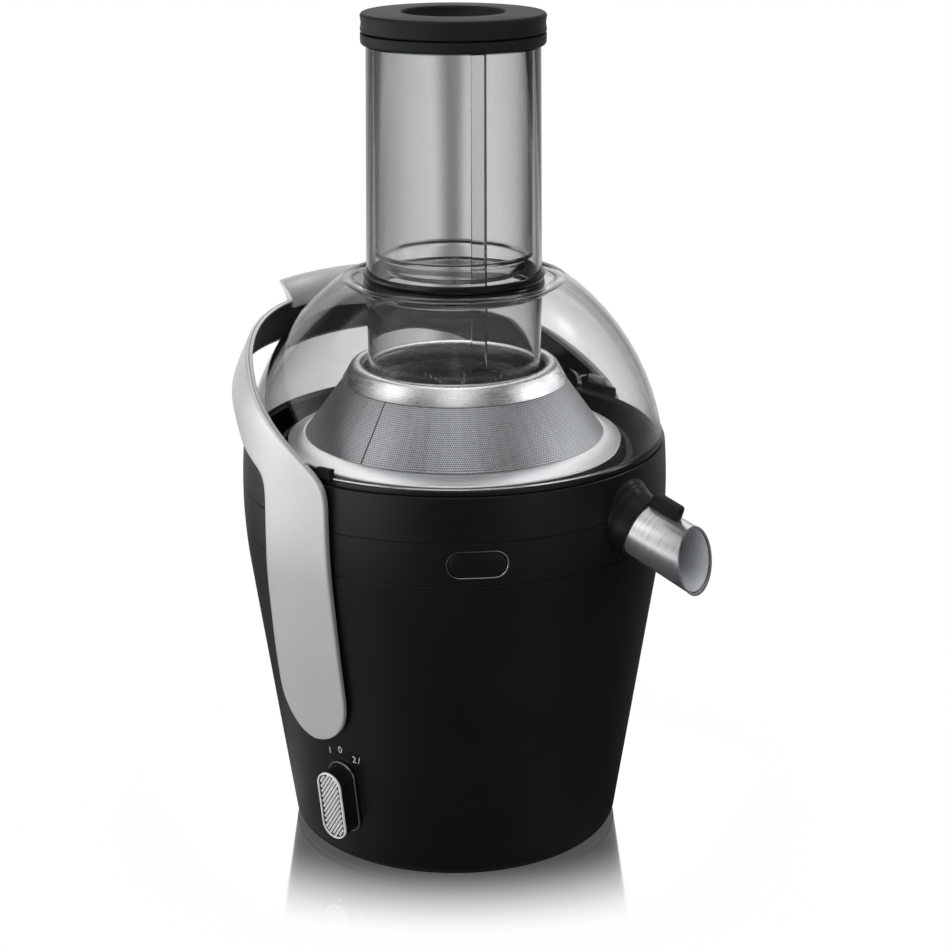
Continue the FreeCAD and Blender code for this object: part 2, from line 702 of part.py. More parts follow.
knob_hole = at_knob(cylinder("knob_hole", S.knob_shaft_radius + 0.6, 4 * S.housing_wall), -12.0)
GLAND_AZIMUTH = 180.0
gland_turn = outward(GLAND_AZIMUTH, knob_slope)
gland_at = on_side(GLAND_AZIMUTH, body_radius(S.gland_height).value, S.gland_height.value)
gland_hole = cylinder("gland_hole", S.gland_radius + S.press_gap, 4 * S.housing_wall)
gland_hole.Placement = FreeCAD.Placement(gland_at + gland_turn.multVec(Vector(0, 0, -9.0)), gland_turn)

cut("motor_housing", housing_solid, tracks + pivot_bores + arm_boss_wells + [knob_hole, gland_hole]
    + ring_of("base_boss_bore", base_boss_bore, 4, S.base_screw_circle, DIAGONAL)
    + ring_of("deck_boss_bore", deck_boss_bore, 4, S.deck_screw_circle, DIAGONAL))

gland = turned("cord_gland", [
    (S.gland_bore, -S.housing_wall - 5.0), (S.gland_radius - 1.0, -S.housing_wall - 5.0),
    (S.gland_radius, -S.housing_wall), (S.gland_radius, 0.6), (S.gland_flange, 0.6),
    (S.gland_flange - 0.8, 2.6), (S.gland_bore + 1.0, 2.6), (S.gland_bore, 1.6)])
gland.Placement = FreeCAD.Placement(gland_at, gland_turn)

# ---------------------------------------------------------------- band with the release button

band_ring = turned("band_ring", [
    (body_radius(S.lower_seam) - S.housing_wall, S.lower_seam), *edge_above(S.lower_seam),
    *edge_below(S.upper_seam, belly), (body_radius(S.upper_seam) - S.housing_wall, S.upper_seam)])
pill_hole = at_button(padded("pill_hole", "XY_Plane",
                             stadium(S.button_half_length, S.button_radius), 30.0, both_ways=True), 0)
cut("housing_band", band_ring, tracks + [spout_hole, pill_hole])


def under_skin(name, depth):
    """Everything inside the band's outer face, less a depth."""
    return turned(name, [
        (0, S.lower_seam), (body_radius(S.lower_seam) - depth, S.lower_seam),
        (body_radius(S.upper_seam) - depth, S.upper_seam, belly), (0, S.upper_seam)])


bezel_outer = at_button(padded("bezel_outer", "XY_Plane", stadium(
    S.button_half_length - 0.1, S.button_radius - 0.1), S.housing_wall + 2.0),
    -S.housing_wall.value)
bezel_inner = at_button(padded("bezel_inner", "XY_Plane", stadium(
    S.button_half_length - 0.1 - S.bezel_width, S.button_radius - 0.1 - S.bezel_width), 40.0,
    both_ways=True), 0)
bezel_full = common("bezel_full", [bezel_outer, under_skin("bezel_skin", 0)])
cut("button_bezel", bezel_full, [bezel_inner])

button_gap = S.bezel_width + 0.1 + S.loose_gap
button_pad = at_button(padded("button_pad", "XY_Plane", stadium(
    S.button_half_length - button_gap, S.button_radius - button_gap), S.button_depth + 2.0),
    -S.button_depth.value)
button_cap = common("button_cap", [button_pad, under_skin("button_skin", 0.3)])
stem_length = 4.0
button_stem = at_button(cylinder("button_stem", S.button_stem_radius, stem_length),
                        -S.button_depth.value - stem_length + 1.0)
fuse("release_button", [button_cap, button_stem])
spring_back = S.bowl_radius + 0.2
spring_room = body_radius(S.button_height) - S.button_depth - spring_back - 0.2
button_spring = turned("button_spring", [
    (S.button_stem_radius + 0.2, 0), (S.button_spring_radius, 0),
    (S.button_spring_radius, spring_room), (S.button_stem_radius + 0.2, spring_room)])
at_button(button_spring, -S.button_depth.value - 0.1 - spring_room.value)

# ---------------------------------------------------------------- pulp container and juice channel

bowl_inner = S.bowl_radius - S.bowl_wall
channel_inner = S.channel_wall_radius - S.bowl_wall
turned("pulp_bowl", [
    (S.hub_tube_radius - 2.0, S.bowl_floor), (S.bowl_radius - S.bowl_corner, S.bowl_floor),
    (S.bowl_radius, S.bowl_floor + S.bowl_corner), (S.bowl_radius, S.upper_seam - S.loose_gap),
    (bowl_inner, S.upper_seam - S.loose_gap), (bowl_inner, S.bowl_floor + S.bowl_corner),
    (bowl_inner - S.bowl_corner + 1.0, S.bowl_floor + S.bowl_wall),
    (S.hub_tube_radius, S.bowl_floor + S.bowl_wall), (S.hub_tube_radius, S.hub_tube_top),
    (S.hub_tube_radius - 2.0, S.hub_tube_top)])
channel_turned = turned("channel_turned", [
    (channel_inner, S.upper_seam), (S.mouth_radius - S.loose_gap, S.upper_seam),
    (S.mouth_radius - S.loose_gap, S.channel_floor), (S.channel_wall_radius, S.channel_floor),
    (S.channel_wall_radius, S.channel_wall_top), (channel_inner, S.channel_wall_top)])
cut("juice_channel", channel_turned, [spout_hole])
container_turned = turned("container_turned", [
    (S.mouth_radius, S.upper_seam), *edge_above(S.upper_seam), *edge_below(S.rim_height, belly),
    (S.mouth_radius, S.rim_height)])
cut("pulp_container", container_turned, tracks + [spout_hole])

# ---------------------------------------------------------------- spout

nozzle_radius = S.spout_inner_radius - S.spout_wall - S.running_gap
neck_end = S.spout_start - 0.6
collar_flare = turned("collar_flare", [
    (S.spout_inner_radius + S.loose_gap, -S.neck_start), (S.collar_flare + 1.5, -S.neck_start),
    (S.collar_flare, -3.0), (S.collar_flare - 1.6, 1.5, -8.0), (S.collar_radius, S.collar_end),
    (S.spout_inner_radius + S.loose_gap + 0.1, S.collar_end)])
at_spout(collar_flare)
spout_envelope = turned("spout_envelope", [
    (0, S.base_seam), (S.base_radius + 0.2, S.base_seam), (body_radius(S.cone_top) + 0.2, S.cone_top),
    (body_radius(S.rim_height) + 0.2, S.rim_height, belly), (0, S.rim_height)])
flare_outside = cut("flare_outside", collar_flare, [spout_envelope])
nozzle = turned("spout_nozzle", [
    (0, -S.neck_start), (S.neck_radius, -S.neck_start), (S.neck_radius, neck_end),
    (nozzle_radius, neck_end), (nozzle_radius, S.nozzle_end - 1.0), (nozzle_radius - 0.8, S.nozzle_end),
    (S.nozzle_bore, S.nozzle_end), (S.nozzle_bore, 2.0 - S.neck_start), (0, 2.0 - S.neck_start)])
at_spout(nozzle)
collar_solid = fuse("collar_solid", [flare_outside, nozzle])
# the neck is open on top where it runs under the juice channel
level = outward(S.spout_azimuth.value)
scoop = box("neck_scoop", 40.0, 4 * S.neck_radius, 20.0)
scoop.Placement = FreeCAD.Placement(level.multVec(Vector(
    S.channel_floor.value, -2 * S.neck_radius.value, S.mouth_radius.value - 20.2)), level)
cut("spout_collar", collar_solid, [scoop])

spout_reach = S.spout_length + 14.0
spout_sheet = turned("spout_sheet", [
    (S.spout_inner_radius - S.spout_wall, S.spout_start), (S.spout_inner_radius, S.spout_start),
    (S.spout_inner_radius, S.collar_end), (S.spout_outer_radius, S.spout_length),
    (S.spout_outer_radius, spout_reach), (S.spout_outer_radius - S.spout_wall, spout_reach),
    (S.spout_outer_radius - S.spout_wall, S.spout_length),
    (S.spout_inner_radius - S.spout_wall, S.collar_end)])
at_spout(spout_sheet)
cut_block = box("spout_cut_block", 80.0, 80.0, 60.0)
cut_rotation = spout_turn.multiply(Rotation(Vector(0, 1, 0), S.spout_cut.value))
cut_block.Placement = FreeCAD.Placement(
    spout_datum + spout_turn.multVec(Vector(0, 0, S.spout_length.value))
    + cut_rotation.multVec(Vector(-40, -40, 0)), cut_rotation)
cut("spout_tube", spout_sheet, [cut_block])

lever_top = S.spout_inner_radius + S.lever_height
lever_blank = padded("lever_blank", "XZ_Plane", [
    (S.spout_inner_radius - 2.0, S.lever_start), (lever_top - 1.6, S.lever_start),
    (lever_top, S.lever_start + 1.6, 1.6), (lever_top, S.lever_start + S.lever_length - 1.6),
    (lever_top - 1.6, S.lever_start + S.lever_length, 1.6),
    (S.spout_inner_radius - 2.0, S.lever_start + S.lever_length)], S.lever_width, both_ways=True)
at_spout(lever_blank)
lever_seat = turned("lever_seat", [
    (0, S.spout_start), (S.spout_inner_radius + S.press_gap, S.spout_start),
    (S.spout_inner_radius + S.press_gap, S.collar_end),
    (S.spout_outer_radius + S.press_gap, S.spout_length), (0, S.spout_length)])
at_spout(lever_seat)
cut("spout_lever", lever_blank, [lever_seat])

# ---------------------------------------------------------------- lid

skirt_inner = S.skirt_radius - S.dome_wall
tube_at_valley = S.tube_root_radius
lid_turned = turned("lid_turned", [
    (skirt_inner, S.skirt_bottom), (S.skirt_radius, S.skirt_bottom),
    (S.skirt_radius, S.lid_flange_bottom + S.seal_height),
    (S.skirt_radius + S.seal_width + 0.1, S.lid_flange_bottom + S.seal_height),
    (S.skirt_radius + S.seal_width + 0.1, S.lid_flange_bottom),
    (S.lid_flange_radius, S.lid_flange_bottom), (S.lid_flange_radius, S.dome_foot_height - 0.6),
    (S.dome_foot_radius, S.dome_foot_height), (S.dome_crest_radius, S.dome_crest_height, S.dome_curve),
    (S.dome_crest_radius - 5.5, S.dome_crest_height - 0.4, 4.6),
    (tube_at_valley + S.press_gap, S.valley_height, -16.0),
    (tube_at_valley + S.press_gap, S.valley_height - S.dome_wall),
    (S.dome_crest_radius - 5.0, S.dome_crest_height - S.dome_wall - 0.6, 14.0),
    (S.dome_crest_radius - 1.6, S.dome_crest_height - S.dome_wall - 0.2, -3.0),
    (S.dome_foot_radius - S.dome_wall, S.dome_foot_height, -(S.dome_curve - S.dome_wall))])
lid_turned.Label = "lid_dome"

turned("lid_seal", [
    (S.skirt_radius + S.press_gap, S.lid_flange_bottom),
    (S.skirt_radius + S.seal_width, S.lid_flange_bottom),
    (S.skirt_radius + S.seal_width, S.lid_flange_bottom + S.seal_height - S.press_gap),
    (S.skirt_radius + S.press_gap, S.lid_flange_bottom + S.seal_height - S.press_gap)])

lug_bottom = S.dome_foot_height + 0.2
lug_outer = S.belly_radius - S.track_depth - 0.2
lug_depth = 6.0
dome_block = turned("dome_block", [
    (0, S.dome_foot_height - 4.0), (S.dome_foot_radius + S.press_gap, S.dome_foot_height - 4.0),
    (S.dome_foot_radius + S.press_gap, S.dome_foot_height),
    (S.dome_crest_radius, S.dome_crest_height, S.dome_curve), (0, S.dome_crest_height)])
lugs = []
for word, side in SIDES:
    corner = -lug_outer if side < 0 else lug_outer - lug_depth
    blank = box(f"lug_blank_{word}", S.lug_length, lug_depth, S.lug_height,
                (S.lug_start, corner, lug_bottom))
    lugs.append(cut(f"lug_{word}", blank, [dome_block]))
group("lid_lugs", lugs)

# ---------------------------------------------------------------- feed tube

collar_bottom = S.valley_height + 0.3
tube_turned = turned("tube_turned", [
    (S.tube_foot_radius - S.tube_wall, S.tube_bottom), (S.tube_foot_radius, S.tube_bottom),
    (tube_at_valley, S.valley_height - S.dome_wall - 1.0),
    (tube_at_valley, collar_bottom + S.tube_collar_height),
    (S.tube_top_radius, S.tube_top), (S.tube_top_radius - S.tube_wall, S.tube_top),
    (tube_at_valley - S.tube_wall, collar_bottom + S.tube_collar_height),
    (tube_at_valley - S.tube_wall, S.valley_height - S.dome_wall - 1.0)])
CAMERA_SIDE = -45.5
key_direction = CAMERA_SIDE + S.key_angle.value
key_turn = Rotation(Vector(0, 0, 1), key_direction)
KEY_START = 258.0
key_rib = box("key_rib", 6.0, S.key_width, S.tube_top - KEY_START - 4.0)
key_rib.Placement = FreeCAD.Placement(
    key_turn.multVec(Vector(S.pusher_radius.value - S.key_depth.value, -S.key_width.value / 2, 0))
    + Vector(0, 0, KEY_START), key_turn)
tube_envelope = turned("tube_envelope", [
    (0, S.tube_bottom), (S.tube_foot_radius - 0.5, S.tube_bottom),
    (tube_at_valley - 0.5, S.valley_height),
    (tube_at_valley - 0.5, collar_bottom + S.tube_collar_height),
    (S.tube_top_radius - 0.5, S.tube_top), (0, S.tube_top)])
key_in_tube = common("key_in_tube", [key_rib, tube_envelope])
fuse("feed_tube", [tube_turned, key_in_tube])

bead = S.tube_collar_height / 2
collar_inner = tube_at_valley + S.press_gap
turned("tube_collar", [
    (collar_inner, collar_bottom), (S.tube_collar_radius - 0.8, collar_bottom),
    (S.tube_collar_radius - 0.8, collar_bottom + bead - 0.4, bead),
    (S.tube_collar_radius - 1.0, collar_bottom + bead + 0.4),
    (S.tube_collar_radius - 1.0, collar_bottom + 2 * bead, bead),
    (collar_inner, collar_bottom + 2 * bead)])

# ---------------------------------------------------------------- pusher

ring_top = S.cap_groove - 0.5
foot_top = S.pusher_bottom + S.pusher_foot_height
pusher_top = S.tube_top + 0.5
turned("pusher_ring", [
    (S.pusher_radius - 6.0, pusher_top), (S.cap_radius - 1.6, pusher_top),
    (S.cap_radius - 0.3, pusher_top + 1.6, 2.0), (S.cap_radius - 0.2, ring_top),
    (S.pusher_radius - 6.0, ring_top)])
cap_floor = S.cap_groove + 0.5
turned("pusher_cap", [
    (0, cap_floor - 0.4), (S.cap_radius - 1.2, cap_floor - 0.4),
    (S.cap_radius - 0.2, cap_floor + 0.6, 1.2),
    (S.cap_radius - S.cap_waist, (cap_floor + S.cap_top) / 2 - 0.5),
    (S.cap_radius - 0.2, S.cap_top - 2.0), (S.cap_radius - 1.6, S.cap_top - 0.4, 1.8),
    (S.cap_well_radius + 1.5, S.cap_top), (S.cap_well_radius, S.cap_top - 1.5, 1.6),
    (S.cap_well_radius - 1.5, S.cap_top - S.cap_well_depth + 1.5),
    (S.cap_well_radius - 4.0, S.cap_top - S.cap_well_depth, -3.0), (0, S.cap_top - S.cap_well_depth)])

pusher_turned = turned("pusher_turned", [
    (S.pusher_radius - S.pusher_wall, foot_top), (S.pusher_radius, foot_top),
    (S.pusher_radius, pusher_top - 0.1), (S.pusher_radius - S.pusher_wall, pusher_top - 0.1)])
key_slot = box("key_slot", 10.0, S.key_width + 2 * S.loose_gap, S.block_side)
key_corner = Vector(S.pusher_radius.value - S.key_depth.value - S.loose_gap.value,
                    -S.key_width.value / 2 - S.loose_gap.value, 0)
key_slot.Placement = FreeCAD.Placement(
    key_turn.multVec(key_corner) + Vector(0, 0, foot_top.value - 20.0), key_turn)
cut("pusher_tube", pusher_turned, [key_slot])
foot_lip = foot_top - 4.0
foot_turned = turned("foot_turned", [
    (0, S.pusher_bottom), (S.pusher_foot_radius - 1.0, S.pusher_bottom),
    (S.pusher_foot_radius, S.pusher_bottom + 1.0, 1.0), (S.pusher_foot_radius + 2.4, foot_lip),
    (S.pusher_radius, foot_lip + 2.0, -3.4), (S.pusher_radius, foot_top - 0.1), (0, foot_top - 0.1)])
cut("pusher_foot", foot_turned, [key_slot])

# ---------------------------------------------------------------- sieve basket

t = S.crown_sheet
crown_shoulder = S.crown_foot_radius - 4.6
disc_top = S.disc_height + S.disc_thickness
turned("sieve_crown", [
    (S.crown_foot_radius, S.crown_foot_height), (crown_shoulder, S.crown_top_height - 1.6),
    (S.sieve_opening + 3.4, S.crown_top_height, 4.6),
    (S.sieve_opening, S.crown_top_height - 2.8, 3.6),
    (S.sieve_opening, disc_top + 0.1), (S.sieve_opening + t, disc_top + 0.1),
    (S.sieve_opening + t, S.crown_top_height - 2.9),
    (S.sieve_opening + 3.5, S.crown_top_height - t, -2.4),
    (crown_shoulder - 0.9, S.crown_top_height - 2.3, -3.4),
    (S.crown_foot_radius - t, S.crown_foot_height)])
mesh_lean = 0.5
turned("sieve_mesh", [
    (S.crown_foot_radius - t - S.mesh_thickness + mesh_lean, S.crown_foot_height - 0.1),
    (S.crown_foot_radius - t + mesh_lean + 0.2, S.crown_foot_height - 0.1),
    (S.mesh_foot_radius, S.mesh_foot_height),
    (S.mesh_foot_radius - S.mesh_thickness, S.mesh_foot_height - 0.5)])
rim_under = S.mesh_foot_height - 0.6
turned("sieve_rim", [
    (S.mesh_foot_radius - 2.0, rim_under), (S.mesh_foot_radius + 1.2, rim_under),
    (S.sieve_rim_radius - 0.6, S.sieve_rim_height + 0.6, -24.0),
    (S.sieve_rim_radius, S.sieve_rim_height - 0.6, -1.0),
    (S.sieve_rim_radius, S.sieve_rim_height - S.sieve_rim_depth),
    (S.sieve_rim_radius - t, S.sieve_rim_height - S.sieve_rim_depth),
    (S.sieve_rim_radius - t, S.sieve_rim_height - 1.2),
    (S.mesh_foot_radius - 2.0, rim_under - t)])

grater = turned("grater_disc", [
    (S.shaft_radius + 1.0, S.disc_height), (S.sieve_opening + t - 0.1, S.disc_height),
    (S.sieve_opening + t - 0.1, disc_top), (S.shaft_radius + 1.0, disc_top)])
first_tooth = S.nut_radius + 4.5
tooth_span = S.sieve_opening - first_tooth - 5.5
tooth_count = int(round(S.teeth_per_row.value))
disc_plane = [part for part in grater.Origin.OriginFeatures if part.Role == "XY_Plane"][0]
tooth_row = grater.newObject("Sketcher::SketchObject", "tooth_row")
tooth_row.AttachmentSupport = [(disc_plane, "")]
tooth_row.MapMode = "FlatFace"
tooth_row.setExpression("AttachmentOffset.Base.z", disc_top.formula)
for number in range(tooth_count):
    reach = first_tooth + tooth_span * (number / (tooth_count - 1))
    shift = reach * (0.024 * number)
    tooth = tooth_row.addGeometry(Part.Circle(Vector(reach.value, shift.value, 0), Vector(0, 0, 1),
                                              S.tooth_radius.value), False)
    place(tooth_row, Sketcher.Constraint("Radius", tooth, S.tooth_radius.value), S.tooth_radius.formula)
    pin_down(tooth_row, "DistanceX", tooth, 3, reach, -2)
    pin_down(tooth_row, "DistanceY", tooth, 3, shift, -1)
doc.recompute()
tooth_pad = grater.newObject("PartDesign::Pad", "teeth")
tooth_pad.Profile = tooth_row
tooth_pad.setExpression("Length", S.tooth_height.formula)
tooth_rows = grater.newObject("PartDesign::PolarPattern", "tooth_rows")
tooth_rows.Originals = [tooth_pad]
tooth_rows.Axis = ([part for part in grater.Origin.OriginFeatures if part.Role == "Z_Axis"][0], [""])
tooth_rows.Angle = 360
tooth_rows.setExpression("Occurrences", S.tooth_rows.formula)
grater.Tip = tooth_rows
tooth_row.Visibility = False

socket = S.coupling_radius + 0.2
hub_waist = S.coupling_height + S.coupling_length + 2.0
turned("sieve_hub", [
    (socket, S.hub_bottom), (S.hub_radius, S.hub_bottom), (S.hub_radius, S.disc_height - 8.0),
    (S.hub_flange, S.disc_height - 2.0, -9.0), (S.hub_flange, S.disc_height - 0.1),
    (S.shaft_radius + 1.0, S.disc_height - 0.1), (S.shaft_radius + 1.0, hub_waist), (socket, hub_waist)])
nut_stem = S.shaft_radius + 1.0 - S.press_gap
turned("disc_nut", [
    (0, hub_waist + 3.0), (nut_stem, hub_waist + 3.0), (nut_stem, disc_top),
    (S.nut_radius, disc_top), (S.nut_radius, disc_top + 1.4), (S.nut_radius - 3.5, disc_top + 3.4, 4.0),
    (0, disc_top + 3.8)])

# ---------------------------------------------------------------- drive line

coupling_blank = turned("coupling_blank", [
    (S.shaft_radius + S.press_gap, S.coupling_height), (S.coupling_radius, S.coupling_height),
    (S.coupling_radius, S.coupling_height + S.coupling_length),
    (S.shaft_radius + S.press_gap, S.coupling_height + S.coupling_length)])
flat_blocks = []
for word, side in SIDES:
    edge = S.coupling_flats / 2 if side > 0 else -S.coupling_flats / 2 - 10.0
    flat_blocks.append(box(f"coupling_flat_{word}", 4 * S.coupling_radius, 10.0,
                           S.coupling_length - 3.0,
                           (-2 * S.coupling_radius, edge, S.coupling_height + 3.0)))
cut("drive_coupling", coupling_blank, flat_blocks)

cylinder("motor_shaft", S.shaft_radius, S.shaft_top - S.shaft_bottom, (0, 0, S.shaft_bottom))
bore = S.shaft_radius + S.press_gap


def race(name, height):
    turned(name, [
        (S.shaft_radius + S.running_gap, height), (S.bearing_radius, height),
        (S.bearing_radius, height + S.bearing_width),
        (S.shaft_radius + S.running_gap, height + S.bearing_width)])


deck_top = S.deck_height + S.deck_thickness
upper_bearing_height = S.deck_height - S.bearing_width - 4.0
race("lower_bearing", S.lower_bearing_height)
race("upper_bearing", upper_bearing_height)

turned("armature_core", [
    (bore, S.core_height), (S.armature_radius, S.core_height),
    (S.armature_radius, S.core_height + S.core_length), (bore, S.core_height + S.core_length)])


def end_winding(name, height):
    return turned(name, [
        (bore, height), (S.winding_radius - 2.0, height), (S.winding_radius, height + 2.0, 2.0),
        (S.winding_radius, height + S.winding_length - 2.0),
        (S.winding_radius - 2.0, height + S.winding_length, 2.0), (bore, height + S.winding_length)])


group("armature_windings", [
    end_winding("winding_low", S.core_height - S.winding_length - 0.1),
    end_winding("winding_high", S.core_height + S.core_length + 0.1)])
turned("commutator", [
    (bore, S.commutator_height), (S.commutator_radius, S.commutator_height),
    (S.commutator_radius, S.commutator_height + S.commutator_length),
    (bore, S.commutator_height + S.commutator_length)])

fan_hub = turned("fan_hub", [
    (bore, S.fan_height), (S.fan_radius, S.fan_height), (S.fan_radius, S.fan_height + S.fan_disc),
    (bore + 5.0, S.fan_height + S.fan_disc), (bore + 5.0, S.fan_height + S.fan_blade_height),
    (bore, S.fan_height + S.fan_blade_height)])


def fan_blade(name, x, y, angle):
    blade = box(name, S.fan_radius - 14.0, 1.4, S.fan_blade_height - S.fan_disc + 0.2)
    turn = Rotation(Vector(0, 0, 1), angle)
    blade_low = S.fan_height + S.fan_disc - 0.2
    blade.Placement = FreeCAD.Placement(
        turn.multVec(Vector(12.0, -0.7, 0)) + Vector(0, 0, blade_low.value), turn)
    return blade


fuse("cooling_fan", [fan_hub] + ring_of("fan_blade", fan_blade, S.fan_blades, 0))

# ---------------------------------------------------------------- motor frame

half_side = S.stator_side / 2
stator_block = padded("stator_block", "XY_Plane", [
    (half_side, -half_side + 12.0), (half_side, half_side - 12.0), (half_side - 12.0, half_side, 12.0),
    (-half_side + 12.0, half_side), (-half_side, half_side - 12.0, 12.0),
    (-half_side, -half_side + 12.0), (-half_side + 12.0, -half_side, 12.0),
    (half_side - 12.0, -half_side), (half_side, -half_side + 12.0, 12.0)][1:], S.core_length)
seat(stator_block, 0, 0, S.core_height)
stator_bore = cylinder("stator_bore", S.armature_radius + S.air_gap, S.core_length + 2.0,
                       (0, 0, S.core_height - 1.0))
coil_inner = S.armature_radius + S.air_gap + 2.5
coil_span = 34.0


def coil_block(name, side, grow):
    """Block that a field coil fills, or with some growth the slot for it."""
    start = coil_inner - grow if side > 0 else -coil_inner - (S.coil_width / 2 + grow)
    return box(name, S.coil_width / 2 + 2 * grow, coil_span + 2 * grow,
               S.core_length + 2 * S.coil_overhang + 2 * grow,
               (start, -coil_span / 2 - grow, S.core_height - S.coil_overhang - grow))


coil_slots = [coil_block(f"coil_slot_{word}", side, 0.1) for word, side in SIDES]
field_coils = [coil_block(f"field_coil_{word}", side, 0.0) for word, side in SIDES]
bolt_holes = [cylinder(f"bolt_hole_{word}", S.bolt_radius + 0.1, 120.0,
                       (0, side * (S.bolt_spread - 4.0), 10.0)) for word, side in SIDES]
cut("stator_core", stator_block, [stator_bore] + coil_slots + bolt_holes)
group("field_coils", field_coils)


def bracket(name, bearing_at, plate_at, bolts):
    """Bearing bracket: a strap along Y with a cup for the bearing."""
    strap = box(name + "_strap", S.bracket_width, S.bracket_length, S.bracket_thickness,
                (-S.bracket_width / 2, -S.bracket_length / 2, plate_at))
    low = bearing_at - 1.0
    cup = cylinder(name + "_cup", S.bearing_radius + 3.0, S.bearing_width + 2.0, (0, 0, low))
    room = cylinder(name + "_room", S.bearing_radius + S.press_gap, S.bearing_width + S.press_gap,
                    (0, 0, bearing_at - S.press_gap / 2))
    way = cylinder(name + "_way", S.shaft_radius + 2.0, S.bearing_width + 20.0, (0, 0, low - 5.0))
    solid = fuse(name + "_solid", [strap, cup])
    return cut(name, solid, [room, way] + bolts)


lower_plate = S.lower_bearing_height + 2.0
upper_plate = upper_bearing_height + 2.0
bolt_ways = [cylinder(f"bolt_way_{word}", S.bolt_radius + 0.1, 140.0,
                      (0, side * (S.bolt_spread - 4.0), 10.0)) for word, side in SIDES]
bracket("lower_bracket", S.lower_bearing_height, lower_plate, bolt_ways)
bracket("upper_bracket", upper_bearing_height, upper_plate, bolt_ways)


def motor_bolt(name, side):
    """Long bolt with spacers that carries the stator between the two brackets."""
    y = side * (S.bolt_spread - 4.0)
    head = cylinder(name + "_head", S.bolt_radius * 2, 3.0, (0, y, lower_plate - 3.1))
    stem = cylinder(name + "_stem", S.bolt_radius, upper_plate - lower_plate + S.bracket_thickness + 6.0,
                    (0, y, lower_plate - 0.2))
    nut = cylinder(name + "_nut", S.bolt_radius * 2, 2.6,
                   (0, y, upper_plate + S.bracket_thickness + 0.1))
    low = cylinder(name + "_low", S.bolt_radius + 1.5,
                   S.core_height - lower_plate - S.bracket_thickness - 0.2,
                   (0, y, lower_plate + S.bracket_thickness + 0.1))
    high_from = S.core_height + S.core_length + 0.1
    high = cylinder(name + "_high", S.bolt_radius + 1.5, upper_plate - high_from - 0.1,
                    (0, y, high_from))
    return fuse(name, [head, stem, nut, low, high])


group("motor_bolts", [motor_bolt(f"motor_bolt_{word}", side) for word, side in SIDES])

# brush holders hang on the lower bracket side, left and right of the commutator
brush_height = S.commutator_height + S.commutator_length / 2
brushes = []
holders = []
for word, side in SIDES:
    start = S.commutator_radius + 0.1 if side > 0 else -S.commutator_radius - 0.1 - S.brush_length
    brushes.append(box(f"carbon_brush_{word}", S.brush_length, S.brush_size, S.brush_size,
                       (start, -S.brush_size / 2, brush_height - S.brush_size / 2)))
    outer = S.brush_size + 2 * S.holder_wall + 0.2
    inner = S.brush_size + 0.1
    sleeve_start = (S.commutator_radius + 2.0 if side > 0
                    else -S.commutator_radius - 2.0 - S.brush_length)
    sleeve = box(f"holder_sleeve_{word}", S.brush_length, outer, outer,
                 (sleeve_start, -outer / 2, brush_height - outer / 2))
    slot = box(f"holder_slot_{word}", S.brush_length + 4.0, inner, inner,
               (sleeve_start - 2.0, -inner / 2, brush_height - inner / 2))
    leg_top = brush_height - outer / 2 + 0.5
    leg_low = lower_plate + S.bracket_thickness + 0.1
    arm_x = S.fan_radius + 1.5
    leg_x = arm_x if side > 0 else -arm_x - 3.0
    tie_start = sleeve_start + 4.0 if side > 0 else leg_x
    tie_length = (arm_x + 3.0 - (S.commutator_radius + 2.0) - 4.0)
    tie = box(f"holder_tie_{word}", tie_length, 6.0, 3.0, (tie_start, -3.0, leg_top - 2.5))
    leg = box(f"holder_leg_{word}", 3.0, 6.0, leg_top - leg_low, (leg_x, -3.0, leg_low))
    shoe_start = S.bracket_width / 2 - 2.5 if side > 0 else leg_x
    shoe = box(f"holder_shoe_{word}", arm_x + 3.0 - S.bracket_width / 2 + 2.5, 6.0, 2.0,
               (shoe_start, -3.0, leg_low))
    holder = fuse(f"holder_solid_{word}", [sleeve, tie, leg, shoe])
    holders.append(cut(f"brush_holder_{word}", holder, [slot]))
group("carbon_brushes", brushes)
group("brush_holders", holders)

# ---------------------------------------------------------------- motor deck

mount_bottom = upper_plate + S.bracket_thickness + 0.1
mount_length = S.deck_height - mount_bottom - 0.1
mount_x = S.bracket_width / 2 - S.mount_radius
mount_y = S.bracket_length / 2 - S.mount_radius
mounts = []
for x_side in (-1, 1):
    for y_side in (-1, 1):
        mounts.append(cylinder(f"mount_{x_side + 1}{y_side + 1}", S.mount_radius, mount_length,
                               (x_side * mount_x, y_side * mount_y, mount_bottom)))
group("vibration_mounts", mounts)

deck_radius = body_radius(S.deck_height) - S.housing_wall - S.loose_gap
shaft_way = S.shaft_radius + 1.5
seal_seat = shaft_way + 3.0
deck_blank = turned("deck_blank", [
    (shaft_way, S.deck_height), (deck_radius, S.deck_height), (deck_radius, deck_top),
    (seal_seat + 2.0, deck_top), (seal_seat + 2.0, deck_top + 4.0), (seal_seat, deck_top + 4.0),
    (seal_seat, deck_top), (shaft_way, deck_top)])


def deck_screw_hole(name, x, y, angle):
    return cylinder(name, S.screw_radius + 0.2, S.deck_thickness + 2.0, (x, y, S.deck_height - 1.0))


def deck_screw(name, x, y, angle):
    head = cylinder(name + "_head", S.screw_head_radius, S.screw_head_height, (x, y, deck_top + 0.05))
    stem = cylinder(name + "_stem", S.screw_radius, S.screw_length,
                    (x, y, deck_top + 0.1 - S.screw_length))
    return fuse(name, [head, stem])


